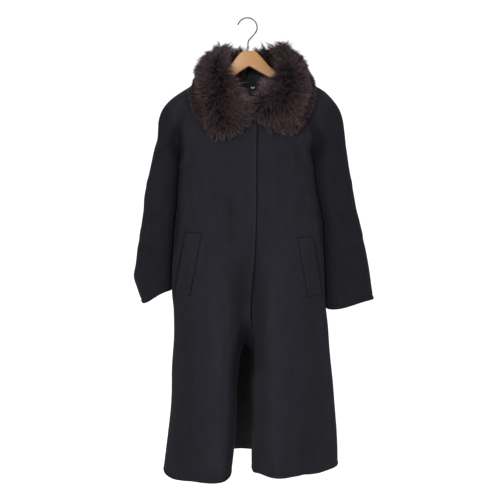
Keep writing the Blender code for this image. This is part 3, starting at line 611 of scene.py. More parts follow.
def shared_normals(*panels):
    """Normals of fronts, half backs and sleeves, the same on both sides of each seam."""
    normals = [{side: outward(grids[side], side) for side in grids} for grids in panels]
    fronts = panels[0]
    for side in (RIGHT, LEFT):
        front, back, arm = (faces[side] for faces in normals)
        for k in range(TOP_ROWS):
            own = armhole_share(fronts[side][k, -1, 2]) if k > YOKE_ROWS else 0.0
            for body, j, end in ((front, -1, 0), (back, 0, -1)):
                shared = unit(body[k, j] + arm[k, end])
                body[k, j] = unit(own * body[k, j] + (1 - own) * shared)
                arm[k, end] = unit(own * arm[k, end] + (1 - own) * shared)
        for one, j, other, end in ((front, -1, back, 0), (arm, 0, arm, -1)):
            shared = unit(one[TOP_ROWS:, j] + other[TOP_ROWS:, end])
            one[TOP_ROWS:, j], other[TOP_ROWS:, end] = shared, shared
        back[:, -1] = unit(back[:, -1] * (0, 1, 1))
    return normals


def front_surface(x, z, side):
    """Points of a front's outside below the armhole, with its folds, and their outward directions."""
    def at(x, z):
        return layered(section(BODY, z, turn_at(BODY, z, x, side), side), side)

    step = 2 * MM
    across, down = at(x + step, z) - at(x - step, z), at(x, z - step) - at(x, z + step)
    normal = unit(np.cross(down, across))
    return at(x, z) + fold_height(FRONT_FOLDS, x, z)[:, None] * normal, normal


def front_painted_shading(side, grid, normals):
    """Painted light and shade: where a front is drawn lighter or darker."""
    x, z = grid[..., 0], grid[..., 2]
    painted_light = fold_height(PAINTED_SHADING, x, z) - UPWARD_SHADE * smooth(normals[..., 2] * 2)
    painted_light -= TURNED_SHADE * above(normals[..., 1], -0.8, 0.6)
    if side == RIGHT:
        # painted shade on the rolled edge, low in the gap
        rolled = above(x, value(ROLL, "start", z), 24 * MM)
        return painted_light - ROLL_SHADE * rolled * below(z, -875 * MM, 50 * MM)
    # the painted shadow that the right front's edge casts on the left front
    past = x - value(FREE_EDGES, "right", z)
    return painted_light - CLOSURE_SHADOW * above(z, ROLL_START - 20 * MM, 30 * MM) * bump(past, 1 * MM, 2.6 * MM)


def sleeve_painted_shading(grid, normals, raised, inwards):
    """Painted light and shade: where a sleeve is drawn lighter or darker."""
    x, z = np.abs(grid[..., 0]), grid[..., 2]
    seam_x = 190 * MM + 0.31 * np.clip(z + 332 * MM, 0, 200 * MM)
    on_arm = np.maximum(above(x, seam_x - 12 * MM, 30 * MM), below(z, -330 * MM, 50 * MM))
    # painted shade over the sleeves and in the folds' troughs
    painted_light = SLEEVE_SHADE * on_arm * below(z, -160 * MM, 60 * MM) + FOLD_SHADE * np.minimum(raised, 0)
    painted_light -= SHOULDER_SHADE * np.clip(normals[..., 2], 0, 0.3) * below(z, -250 * MM, 60 * MM)
    painted_light -= TURNED_SHADE * above(normals[..., 1], -0.7, 0.6)
    # painted shade on the inner side, deeper in the crease under the arm
    crease = below(z, -270 * MM, 50 * MM) * above(z, -440 * MM, 80 * MM)
    return painted_light - above(inwards, 0.55, 0.45) * (INNER_SHADE + CREASE_SHADE * crease)


def add_node(tree, kind, *inputs, out=None, **settings):
    """Adds a node and gives its output; settings are its properties or, with _ for a space, its inputs."""
    node = tree.nodes.new(kind)
    for key in [key for key in settings if hasattr(node, key)]:
        setattr(node, key, settings.pop(key))
    set_sockets(tree, zip([s for s in node.inputs if s.enabled], inputs))
    set_named(tree, node, settings)
    return next(s for s in node.outputs if s.enabled and out in (None, s.name))


def set_named(tree, node, settings):
    sockets = {s.name.replace(" ", "_"): s for s in node.inputs if s.enabled}
    set_sockets(tree, [(sockets[key], setting) for key, setting in settings.items()])


def set_sockets(tree, pairs):
    """Links each input to a given output, or sets it to a given value."""
    for socket, setting in pairs:
        if isinstance(setting, bpy.types.NodeSocket):
            tree.links.new(setting, socket)
        else:
            socket.default_value = setting


class Finish:
    """A material, and the shader nodes that it needs in a few words."""

    def __init__(self, name, roughness, **inputs):
        self.material = bpy.data.materials.new(name)
        self.material.use_nodes = True
        self.tree = self.material.node_tree
        self.place = self.add("ShaderNodeTexCoord", out="Object")
        self.shade(Roughness=roughness, **inputs)

    def add(self, kind, *inputs, **settings):
        return add_node(self.tree, kind, *inputs, **settings)

    def shade(self, **inputs):
        set_named(self.tree, self.tree.nodes["Principled BSDF"], inputs)

    def noise(self, stretch, detail=3.0, roughness=0.5, scale=1.0):
        place = self.add("ShaderNodeMapping", Vector=self.place, Scale=stretch)
        return self.add("ShaderNodeTexNoise", Vector=place, Scale=scale, Detail=detail, Roughness=roughness)

    def ramp(self, factor, *stops):
        """Colours by a factor, from (place, colour) stops."""
        colour = self.add("ShaderNodeValToRGB", factor)
        elements = colour.node.color_ramp.elements
        while len(elements) < len(stops):
            elements.new(0.5)
        for element, (place, shown) in zip(elements, stops):
            element.position, element.color = place, (*shown, 1)
        return colour

    def shades(self, factor, colour, *stops):
        """One colour made darker or lighter by a factor, from (place, share) stops."""
        return self.ramp(factor, *((place, tinted(colour, share)) for place, share in stops))

    def times(self, first, *others, factor=1.0):
        for other in others:
            first = self.add("ShaderNodeMix", factor, first, other, data_type="RGBA", blend_type="MULTIPLY")
        return first

    def by_attribute(self, colour, name, shares):
        """A colour times 1 + share x the piece's attribute, for each of its channels."""
        level = self.add("ShaderNodeAttribute", attribute_name=name, out="Fac")
        parts = [self.add("ShaderNodeMath", level, share, operation="MULTIPLY") for share in shares]
        parts = [self.add("ShaderNodeMath", part, 1.0, operation="ADD") for part in parts]
        return self.times(colour, self.add("ShaderNodeCombineColor", *parts))

    def bumped(self, *heights):
        """Bump from (height, strength, distance) rows, coarse first."""
        normal = {}
        for height, strength, distance in heights:
            made = self.add("ShaderNodeBump", Height=height, Strength=strength, Distance=distance, **normal)
            normal = {"Normal": made}
        self.shade(**normal)
        return self.material


def tinted(colour, factor):
    return tuple(min(1.0, c * factor) for c in colour)


def wool_finish(settings):
    """Brushed wool: a short nap lying downwards, uneven colour, and the light and shade painted on each
    piece.
    """
    made = Finish(
        "brushed_navy_wool", 0.92, Specular_IOR_Level=0.05, Sheen_Weight=settings.wool_sheen,
        Sheen_Roughness=0.55, Sheen_Tint=(0.78, 0.80, 1.0, 1),
    )
    nap = made.noise((1100, 1100, 420), 4.0, 0.65)
    fluff = made.noise((330, 330, 190), 3.0, 0.6)
    cloud = made.noise((48, 48, 15), 4.0, 0.6)
    colour = made.times(
        made.shades(nap, settings.wool_colour, (0.32, 0.78), (0.5, 1.0), (0.72, 1.32)),
        made.ramp(cloud, (0.3, (0.84, 0.84, 0.86)), (0.7, (1.06, 1.06, 1.05))),
        made.ramp(fluff, (0.3, (0.9, 0.9, 0.9)), (0.7, (1.0, 1.0, 1.0))),
    )
    # times the light and shade painted on each point of the piece
    made.shade(Base_Color=made.by_attribute(colour, "painted_light", (1.0, 1.0, 1.0)))
    return made.bumped((fluff, 0.22, 0.0006), (nap, 0.38, 0.0003))


def lining_finish(settings):
    """A dark twill lining inside the coat."""
    made = Finish("dark_twill_lining", 0.55, Specular_IOR_Level=0.04)
    twill = made.add(
        "ShaderNodeTexWave", Vector=made.place, Scale=420.0, wave_type="BANDS",
        bands_direction="DIAGONAL", out="Fac",
    )
    made.shade(Base_Color=made.shades(twill, settings.lining_colour, (0.2, 0.7), (0.8, 1.3)))
    return made.bumped((twill, 0.2, 0.0002))


def plain_finish(name, roughness, specular, colour, noise, dark, light, bump_row):
    """A finish of one colour, made uneven and rough by one noise."""
    made = Finish(name, roughness, Specular_IOR_Level=specular)
    grain = made.noise(*noise)
    made.shade(Base_Color=made.shades(grain, colour, (0.3, dark), (0.7, light)))
    return made.bumped((grain, *bump_row))


def facing_finish(settings):
    """The dull dark cloth that faces the inside of the neck."""
    colour = tinted(settings.lining_colour, 1.6)
    noise = ((260, 260, 120), 4.0, 0.6)
    return plain_finish("dark_neck_facing", 0.9, 0.05, colour, noise, 0.55, 1.25, (0.4, 0.0008))


def pelt_finish(settings):
    """The dense dark underfur from which the long hair grows."""
    colour = tinted(settings.fur_root_colour, 1.1)
    noise = ((900, 900, 900), 3.0, 0.6)
    return plain_finish("dark_underfur", 0.95, 0.1, colour, noise, 0.5, 1.0, (0.6, 0.001))


def thread_finish(settings):
    """Twisted sewing thread in the cloth's colour."""
    colour = tinted(settings.wool_colour, 0.75)
    noise = ((2400, 2400, 2400), 2.0)
    return plain_finish("navy_thread", 0.7, 0.5, colour, noise, 0.6, 1.3, (0.3, 0.0002))


def fur_finish(settings):
    """Long fur: dark roots, plum-brown hair and greyer tips, with painted shade and light from the pelt; the
    piece's UV map runs along each hair.
    """
    made = Finish("plum_brown_fur", 0.62, Specular_IOR_Level=0.22, Sheen_Weight=0.03)
    split = made.add("ShaderNodeSeparateXYZ", made.add("ShaderNodeUVMap", uv_map="hair")).node
    root, tip = tuple(settings.fur_root_colour), tuple(settings.fur_tip_colour)
    middle = tuple(0.45 * a + 0.55 * b for a, b in zip(root, tip))
    # Darker at the very root and lighter at the very tip: the hair's own colours, with painted shade deep in
    # the pelt and painted light at the tips
    colour = made.times(
        made.ramp(
            split.outputs["Y"], (0.0, tinted(root, 0.35)), (0.35, root), (0.7, middle), (0.95, tip),
            (1.0, tinted(tip, 1.25)),
        ),
        made.ramp(
            split.outputs["X"], (0.0, (0.42, 0.38, 0.39)), (0.5, (0.85, 0.82, 0.82)),
            (0.85, (1.3, 1.28, 1.28)), (1.0, (1.9, 1.88, 1.88)),
        ),
        made.ramp(made.noise((38, 38, 38), 2.0), (0.35, (0.72, 0.70, 0.70)), (0.62, (1.0, 1.0, 1.0))),
        made.ramp(
            made.noise((230, 230, 110), 2.0, 0.6), (0.38, (0.24, 0.20, 0.21)), (0.61, (1.6, 1.62, 1.62))
        ),
    )
    # times the painted shade and light of the pelt's shade attribute
    made.shade(Base_Color=made.by_attribute(colour, "shade", (-0.45, -0.60, -0.55)))
    return made.material


def wood_finish(settings):
    """Varnished maple with fine grain along the arms."""
    made = Finish("varnished_maple", 0.42, Coat_Weight=0.14, Coat_Roughness=0.22)
    warp = made.noise((9, 9, 26), 2.0)
    grain = made.noise((7, 60, 90), 6.0, 0.62, 3.0)
    pores = made.noise((60, 900, 1100), 3.0, 0.7)
    colour = made.shades(grain, settings.wood_colour, (0.3, 0.86), (0.5, 1.0), (0.68, 1.08))
    fleck = made.ramp(pores, (0.36, (0.86, 0.82, 0.76)), (0.5, (1.0, 1.0, 1.0)))
    wide = made.ramp(warp, (0.3, (0.9, 0.87, 0.83)), (0.7, (1.04, 1.02, 1.0)))
    made.shade(Base_Color=made.times(made.times(colour, fleck, factor=0.6), wide))
    return made.bumped((grain, 0.08, 0.0006), (pores, 0.12, 0.0002))


def metal_finish(name, colour, roughness):
    """Polished wire with faint drawing marks."""
    made = Finish(name, roughness, Metallic=1.0)
    marks = made.noise((700, 700, 160), 3.0, 0.6)
    rough = made.ramp(marks, (0.2, (roughness * 0.8,) * 3), (0.8, (roughness * 1.35,) * 3))
    made.shade(Base_Color=made.shades(marks, colour, (0.3, 0.82), (0.7, 1.0)), Roughness=rough)
    return made.material


def linked(name, data):
    """An object at the origin, in the scene."""
    made = bpy.data.objects.new(name, data)
    bpy.context.scene.collection.objects.link(made)
    return made


def add_piece(name, points, faces, materials, slots=None):
    """A mesh object at the origin; faces are lists of indices, slots the material of each."""
    mesh = bpy.data.meshes.new(name)
    mesh.from_pydata([tuple(p) for p in points], [], faces)
    for finish in materials:
        mesh.materials.append(finish)
    if slots is not None:
        mesh.polygons.foreach_set("material_index", np.asarray(slots, dtype=np.int32))
    mesh.shade_smooth()
    mesh.update()
    return linked(name, mesh)


def cloth_wall(name, outer, inner, materials, painted_light, tube_from=None, facing=0):
    """A closed wall between two grids, with a facing inside its first rows; from a row on, a tube."""
    rows, columns = outer.shape[:2]
    index = np.arange(rows * columns).reshape(rows, columns)
    if tube_from is not None:
        index[tube_from:, -1] = index[tube_from:, 0]
    off = rows * columns
    a, b = index[:-1, :-1].ravel(), index[1:, :-1].ravel()
    c, d = index[1:, 1:].ravel(), index[:-1, 1:].ravel()
    outside = np.stack([a, b, c, d], axis=1)
    inside = outside[:, ::-1] + off
    edges = {}
    for quad in outside.tolist():
        for p, q in zip(quad, quad[1:] + quad[:1]):
            if (q, p) in edges:
                del edges[q, p]
            else:
                edges[p, q] = True
    rim = [(q, p, p + off, q + off) for p, q in edges]
    faces = [*map(tuple, outside.tolist()), *map(tuple, inside.tolist()), *rim]
    faced = facing * (columns - 1)
    slots = [0] * len(outside) + [2] * faced + [1] * (len(inside) - faced) + [0] * len(rim)
    points = np.concatenate([outer.reshape(-1, 3), inner.reshape(-1, 3)])
    used = np.unique(np.concatenate([np.ravel(f) for f in faces]))
    renumber = np.zeros(len(points), dtype=int)
    renumber[used] = np.arange(len(used))
    faces = [tuple(int(renumber[i]) for i in face) for face in faces]
    made = add_piece(name, points[used], faces, materials, slots)
    # the painted light and shade of each point, which the cloth's colour is multiplied by
    tones = np.zeros((2, rows, columns))
    tones[:] = painted_light
    layer = made.data.attributes.new("painted_light", "FLOAT", "POINT")
    layer.data.foreach_set("value", tones.ravel()[used].astype(np.float32))
    oriented(made.data)
    return made


def oriented(mesh, merge=0.0, move=None):
    """Turns a closed mesh's faces outwards, after its doubled points are merged and all are moved."""
    work = bmesh.new()
    work.from_mesh(mesh)
    if merge:
        bmesh.ops.remove_doubles(work, verts=work.verts[:], dist=merge)
    if move:
        for vertex in work.verts:
            vertex.co = move(*vertex.co)
    bmesh.ops.recalc_face_normals(work, faces=work.faces[:])
    work.to_mesh(mesh)
    work.free()
    mesh.update()


def walled(outer, normals, columns, rows=None):
    """A panel's outside and inside, drawn in by half a seam at its sewn columns, down to a row."""
    inner = outer - WALL * normals
    for column in columns:
        towards = 1 if column == 0 else -2
        shift = unit(outer[:rows, towards] - outer[:rows, column]) * SEAM / 2
        outer[:rows, column] += shift
        inner[:rows, column] += shift
    return outer, inner


def evaluated(holder, name):
    """The evaluated mesh of an object, which is then removed."""
    bpy.context.view_layer.update()
    mesh = bpy.data.meshes.new_from_object(holder.evaluated_get(bpy.context.evaluated_depsgraph_get()))
    bpy.data.objects.remove(holder)
    mesh.name = name
    return mesh


def shoulder_surface(z, turn, side):
    """Points of the shoulders' outside and their outward directions."""
    step, sweep = 2 * MM, 0.4
    down = section(SHOULDERS, z - step, turn, side) - section(SHOULDERS, z + step, turn, side)
    first, last = max(turn - sweep, 0.02), min(turn + sweep, 179.98)
    round_ = section(SHOULDERS, z, last, side) - section(SHOULDERS, z, first, side)
    return section(SHOULDERS, z, turn, side), unit(side * np.cross(down, round_))


def collar_ring(rows, turn, side):
    """The fur's closed section at one turn round the neck, and the point of its middle line under each."""
    foot, bottom, thick, rise, lean = (
        float(value(rows, name, turn, key="turn")) for name in ("foot", "bottom", "thick", "rise", "lean")
    )
    angle = np.linspace(0, 2 * math.pi, RING_POINTS, endpoint=False)
    down = 0.5 - 0.5 * power(np.cos(angle), COLLAR_SQUARENESS)
    height = 0.5 + 0.5 * power(np.sin(angle), COLLAR_SQUARENESS)
    point, normal = shoulder_surface(foot + (bottom - foot) * down, turn, side)
    roll = ((1 - down) ** 2 * height)[:, None]
    inwards = unit(point * (1, 1, 0) - (SHOULDERS["centre"][0], 0, 0))
    off = COLLAR_CLEARANCE + thick * height * (1 - COLLAR_TAPER * down * down)
    ring = point + off[:, None] * normal + roll * (np.array((0, 0, rise)) - lean * inwards)
    line = ((ring + np.roll(ring[::-1], 1, axis=0)) / 2)[: RING_POINTS // 2 + 1]
    far = along(line)
    end = min(thick / 2, 0.45 * far[-1])
    places = np.clip(np.concatenate([far, far[-2:0:-1]]), end, far[-1] - end)
    middle = np.stack([np.interp(places, far, line[:, k]) for k in range(3)], axis=1)
    return ring, middle, height, down


def nearest_on(line, points):
    """For each point, the nearest point of a polyline."""
    best, distance = np.zeros_like(points), np.full(len(points), np.inf)
    for a, b in zip(line[:-1], line[1:]):
        share = np.clip(((points - a) @ (b - a)) / ((b - a) @ (b - a)), 0, 1)[:, None]
        place = a + share * (b - a)
        far = np.linalg.norm(points - place, axis=1)
        closer = far < distance
        best[closer], distance[closer] = place[closer], far[closer]
    return best, distance


def keep_to_side(grid, side):
    """Keeps one half of the collar clear of the other."""
    centre = SHOULDERS["centre"][0]
    grid[..., 0] = centre + side * np.maximum(side * (grid[..., 0] - centre), SEAM / 2)


def combed(side, length):
    """One half of the collar: the pelt under its hair, how the hair stands, lies and grows on it, and its
    painted shade and light.
    """
    rows = COLLARS[side]
    first = rows["turn"][0]
    turns = first + (rows["turn"][-1] - first) * np.linspace(0, 1, RINGS) ** RING_SPACING
    outer, middle, height, down = (
        np.array(part) for part in zip(*(collar_ring(rows, turn, side) for turn in turns))
    )
    keep_to_side(outer, side)
    keep_to_side(middle, side)
    reach = np.linalg.norm(outer - middle, axis=-1, keepdims=True)
    pelt = middle + (outer - middle) * np.maximum(1 - length / np.maximum(reach, MM), LEAST_PELT)
    keep_to_side(pelt, side)
    around = np.roll(outer, -1, axis=1) - np.roll(outer, 1, axis=1)
    normal = unit(np.cross(np.gradient(outer, axis=0), around))
    normal *= np.sign((normal * (outer - middle)).sum(axis=-1).mean())
    stand = unit(normal + STANDING * unit(outer - middle))
    x, z = outer[..., 0], outer[..., 2]
    flat = outer.reshape(-1, 3)[:, ::2]
    place, distance = nearest_on(np.stack([PARTINGS[side]["x"], PARTINGS[side]["z"]], axis=1), flat)
    distance = distance.reshape(x.shape)
    away = np.zeros_like(outer)
    away[..., ::2] = (flat - place).reshape(*x.shape, 2)
    away[..., 0] += 5 * MM * np.sin(170 * z + 60 * x)
    away[..., 2] += 5 * MM * np.sin(140 * x - 90 * z) - (5 + 10 * below(z, -0.17, 0.06)) * MM
    front = below(turns, *LOBE_TURNS)[:, None] * smooth(0.4 - normal[..., 1] * 1.5)
    flow = front[..., None] * unit(away) + (1 - front[..., None]) * np.array((0, 0, -1.0))
    near_wood = front_half(outer) * spot(x, z, *TUFTS[side])
    flow = flow * (1 - near_wood[..., None]) + near_wood[..., None] * np.array((-side, -0.3, -0.35))
    flow = unit(flow - (flow * normal).sum(axis=-1, keepdims=True) * normal)
    parted = front * bump(distance, 0, PARTING_WIDTH)
    crest = bump(down, 0, CREST_WIDTH) * (1 - front)
    lay = (0.95 - 0.55 * parted) * (1 - 0.75 * crest)
    tall = np.clip(np.linalg.norm(outer - pelt, axis=-1) / (0.80 * length), *HAIR_RANGE)
    fringe = FRINGE[side] * front * bump(down, 0, FRINGE_WIDTH)
    saddle_x, saddle_size, more = SADDLES[side]
    beside = bump(x, saddle_x, saddle_size) * bump(down, 0, SADDLE_WIDTH)
    tall = tall * (1 + fringe + 0.14 * crest - 0.05 * parted + 0.06 * near_wood + more * beside)
    lie = flow * lay[..., None]
    tall = within_outline(tall, pelt, unit(stand + LEAN * lie), flow, side, length / PELT_DEPTH)
    cover = above(height, 0.06, 0.2) * (1 + 0.8 * beside)
    # Painted shade along the partings and in deep spots; painted light where a spot's share is negative, and
    # beside the wood
    shade = front * bump(distance, 0, PARTING_SHADE)
    for dark_x, dark_z, wide, share in SHADES[side]:
        deep = share * spot(x, z, dark_x, dark_z, wide)
        shade = np.maximum(shade, deep) if share > 0 else shade + deep
    return pelt, stand, lie, tall, cover, shade * front_half(outer) - SADDLE_LIGHT * beside


def within_outline(tall, pelt, aim, flow, side, length):
    """Shortens hair whose tips would pass the lobes' outline, seen from the front, or stand out behind."""
    for _ in range(3):
        tip = pelt + length * tall[..., None] * aim + TIP_BEND * tall[..., None] * flow
        over = side * (tip[..., 0] - value(FUR_REACH, side_name(side), tip[..., 2])) - OUTLINE_EASE
        over = np.maximum(over, tip[..., 1] - BACK_REACH)
        tall = np.maximum(tall - np.maximum(over, 0) / length, 0.3)
    return tall


def front_half(points):
    return below(points[..., 1], 10 * MM, 30 * MM)


def lofted_faces(rows, columns):
    """Quads through closed rings, then a fan of triangles at each end, from two added points."""
    faces, fans = [], []
    for j in range(columns):
        after, last = (j + 1) % columns, (rows - 1) * columns
        fans += [(rows * columns, j, after), (rows * columns + 1, last + after, last + j)]
    for i in range(0, (rows - 1) * columns, columns):
        for j in range(columns):
            after = (j + 1) % columns
            faces.append((i + j, i + columns + j, i + columns + after, i + after))
    return faces + fans


def hair_lock(name, hairs, seed, length, tip_width, lean):
    """A lock of fur: flat tapering hairs that gather towards their tips and lean over to +X."""
    random = np.random.default_rng(seed)
    points, faces, uvs = [], [], []
    for _ in range(hairs):
        root, tip = random.normal(0, LOCK_ROOT / 2, 2), random.normal(0, tip_width / 2, 2)
        tall, bend = length * random.uniform(0.6, 1.08), lean * random.uniform(0.7, 1.3)
        twist, shade = random.uniform(0, math.pi), random.uniform()
        across = HAIR_WIDTH / 2 * np.array((math.cos(twist), math.sin(twist), 0))
        start = len(points)
        for t, share in HAIR_STEPS:
            x, y = (1 - t) * root + t * tip
            centre = np.array((x + bend * t * t, y + 0.04 * length * math.sin(3 * t + 6 * shade), tall * t))
            ends = [centre - share * across, centre + share * across] if share else [centre]
            points += ends
            uvs += [(shade, t)] * len(ends)
        faces += [(start, start + 1, start + 3, start + 2), (start + 2, start + 3, start + 4)]
    mesh = bpy.data.meshes.new(name)
    mesh.from_pydata([tuple(p) for p in points], [], faces)
    layer = mesh.uv_layers.new(name="hair")
    for loop in mesh.loops:
        layer.data[loop.index].uv = uvs[loop.vertex_index]
    mesh.shade_smooth()
    return bpy.data.objects.new(name, mesh)


def new_tree(name, *inputs):
    """A Geometry Nodes tree with named inputs, and their sockets inside it."""
    tree = bpy.data.node_groups.new(name, "GeometryNodeTree")
    for label, kind, default in (("Geometry", "Geometry", None), *inputs):
        socket = tree.interface.new_socket(label, in_out="INPUT", socket_type="NodeSocket" + kind)
        if default is not None:
            socket.default_value = default
    tree.interface.new_socket("Geometry", in_out="OUTPUT", socket_type="NodeSocketGeometry")
    return tree, tree.nodes.new("NodeGroupInput").outputs


def ended(tree, instances, finish):
    """Ends a tree: its instances become mesh, with their material."""
    real = add_node(tree, "GeometryNodeRealizeInstances", Geometry=instances)
    shown = add_node(tree, "GeometryNodeSetMaterial", Geometry=real, Material=finish)
    tree.links.new(shown, tree.nodes.new("NodeGroupOutput").inputs["Geometry"])
    return tree


def fur_tree():
    """Geometry Nodes: locks of hair stand on a pelt, lean the way it is combed, and become mesh."""
    tree, given = new_tree(
        "fur_on_pelt", ("Locks", "Collection", None), ("Density", "Float", 60000.0), ("Seed", "Int", 1),
        ("Disorder", "Float", 0.3), ("Size", "Float", 1.0), ("Finish", "Material", None),
    )

    def attribute(name, kind="FLOAT"):
        return add_node(tree, "GeometryNodeInputNamedAttribute", data_type=kind, Name=name)

    def random(kind, low, high, offset):
        seed = add_node(tree, "ShaderNodeMath", given["Seed"], offset, operation="ADD")
        return add_node(tree, "FunctionNodeRandomValue", low, high, data_type=kind, Seed=seed)

    def times(first, second):
        return add_node(tree, "ShaderNodeMath", first, second, operation="MULTIPLY")

    def vector(operation, first, second):
        return add_node(tree, "ShaderNodeVectorMath", first, second, operation=operation)

    points = add_node(
        tree, "GeometryNodeDistributePointsOnFaces", Mesh=given["Geometry"],
        Density=times(given["Density"], attribute("cover")), Seed=given["Seed"],
    )
    jitter = vector("SCALE", random("FLOAT_VECTOR", (-1, -1, -1), (1, 1, 1), 11), given["Disorder"])
    aim = vector("ADD", attribute("stand", "FLOAT_VECTOR"), jitter)
    lie = vector("ADD", attribute("lie", "FLOAT_VECTOR"), vector("SCALE", jitter, given["Disorder"]))
    up = add_node(tree, "FunctionNodeAlignRotationToVector", axis="Z", Vector=aim)
    lean = add_node(
        tree, "FunctionNodeAlignRotationToVector", axis="X", pivot_axis="Z", Rotation=up, Vector=lie
    )
    locks = add_node(
        tree, "GeometryNodeCollectionInfo", Collection=given["Locks"], Separate_Children=True,
        Reset_Children=True,
    )
    size = times(times(attribute("tall"), random("FLOAT", 0.78, 1.12, 37)), given["Size"])
    grown = add_node(
        tree, "GeometryNodeInstanceOnPoints", Points=points, Instance=locks, Pick_Instance=True,
        Instance_Index=random("INT", 0, 63, 23), Rotation=lean, Scale=size,
    )
    return ended(tree, grown, given["Finish"])


def stitch_tree():
    """Geometry Nodes: stitches at equal steps along a seam line."""
    tree, given = new_tree(
        "stitches_on_line", ("Step", "Float", 0.0036), ("Length", "Float", 0.0026),
        ("Thread", "Float", 0.0003), ("Finish", "Material", None),
    )
    line = add_node(tree, "GeometryNodeMeshToCurve", Mesh=given["Geometry"])
    even = add_node(tree, "GeometryNodeResampleCurve", mode="LENGTH", Curve=line, Length=given["Step"])
    tangent = add_node(tree, "GeometryNodeInputTangent")
    turn = add_node(tree, "FunctionNodeAlignRotationToVector", axis="Z", Vector=tangent)
    ball = add_node(tree, "GeometryNodeMeshUVSphere", Segments=6, Rings=4, Radius=given["Thread"])
    thick = add_node(tree, "ShaderNodeMath", given["Thread"], 2.0, operation="MULTIPLY")
    stretch = add_node(tree, "ShaderNodeMath", given["Length"], thick, operation="DIVIDE")
    size = add_node(tree, "ShaderNodeCombineXYZ", 1.0, 1.0, stretch)
    stitch = add_node(tree, "GeometryNodeTransform", Geometry=ball, Scale=size)
    sewn = add_node(tree, "GeometryNodeInstanceOnPoints", Points=even, Instance=stitch, Rotation=turn)
    return ended(tree, sewn, given["Finish"])


def run_tree(carrier, tree, values, name):
    """Puts a mesh object through a tree, whose inputs are set by their sockets' identifiers."""
    modifier = carrier.modifiers.new(tree.name, "NODES")
    modifier.node_group = tree
    for item in tree.interface.items_tree:
        if item.item_type == "SOCKET" and item.in_out == "INPUT" and item.name in values:
            modifier[item.identifier] = values[item.name]
    return linked(name, evaluated(carrier, name))


def stitched(name, lines, finish, length):
    """Stitches along several lines of points, as one piece."""
    points, edges = [], []
    for line in lines:
        start = len(points)
        points += [tuple(p) for p in line]
        edges += [(start + k, start + k + 1) for k in range(len(line) - 1)]
    mesh = bpy.data.meshes.new(name + "_line")
    mesh.from_pydata(points, edges, [])
    tree = bpy.data.node_groups.get("stitches_on_line") or stitch_tree()
    values = {"Step": length * 1.4, "Length": length, "Thread": 0.00028, "Finish": finish}
    made = run_tree(linked(name + "_line", mesh), tree, values, name)
    made.data.shade_smooth()
    return made


def rounded(points, most=None):
    """A line with its corners cut and its ends kept or, given the longest cut, a closed outline."""
    after = np.roll(points, -1, axis=0)
    if most is None:
        share = np.full((len(points), 1), 0.25)
    else:
        share = np.minimum(0.25, most / np.linalg.norm(after - points, axis=1, keepdims=True))
    cut = np.empty((2 * len(points), points.shape[1]))
    cut[0::2] = (1 - share) * points + share * after
    cut[1::2] = share * points + (1 - share) * after
    return cut if most is not None else np.concatenate([points[:1], cut[1:-3], points[-1:]])


def curve_piece(name, line, curve, finish, sharp, closed=False, move=None):
    """A curve's mesh as an object at the origin, with its caps joined and its faces outwards."""
    curve.bevel_resolution = 5
    spline = curve.splines.new("POLY")
    spline.points.add(len(line) - 1)
    spline.use_cyclic_u = closed
    for place, point in zip(spline.points, line):
        place.co = (*point, 1)
    mesh = evaluated(linked(name + "_curve", curve), name)
    oriented(mesh, 0.00001, move)
    mesh.materials.clear()
    mesh.materials.append(finish)
    mesh.shade_smooth()
    mesh.set_sharp_from_angle(angle=math.radians(sharp))
    return linked(name, mesh)


def wooden_hanger(finish):
    """The wood, with its outline smoothed and its edges rounded."""
    outline = np.stack([WOOD["across"], WOOD["z"]], axis=1)
    whole = np.concatenate([outline, outline[-2:0:-1] * (-1, 1)])
    curve = bpy.data.curves.new("hanger_outline", "CURVE")
    curve.dimensions, curve.fill_mode = "2D", "BOTH"
    curve.extrude, curve.bevel_depth = HANGER_THICKNESS / 2 - HANGER_EDGE, HANGER_EDGE
    curve.offset = -HANGER_EDGE
    cos, sin, top = math.cos(HANGER_TILT), math.sin(HANGER_TILT), WOOD["z"][0]

    def hung(x, z, y):
        z -= top
        return x * cos - z * sin + HANGER_CENTRE, -y, x * sin + z * cos + top

    line = [(x, z, 0) for x, z in rounded(rounded(whole, 2.2 * MM), 0.5 * MM)]
    return curve_piece("maple_hanger", line, curve, finish, 40, closed=True, move=hung)


def wire(name, route, radius, finish):
    curve = bpy.data.curves.new(name, "CURVE")
    curve.dimensions, curve.bevel_depth, curve.use_fill_caps = "3D", radius, True
    line = np.array(route)
    for _ in range(3):
        line = rounded(line)
    return curve_piece(name, line, curve, finish, 50)


def colour_setting(name, description, default):
    return FloatVectorProperty(
        name=name, description=description, default=default, min=0, max=1, size=3, subtype="COLOR"
    )


def number_setting(name, description, default, low, high, **kind):
    return FloatProperty(name=name, description=description, default=default, min=low, max=high, **kind)


def length_setting(*given):
    return number_setting(*given, unit="LENGTH")


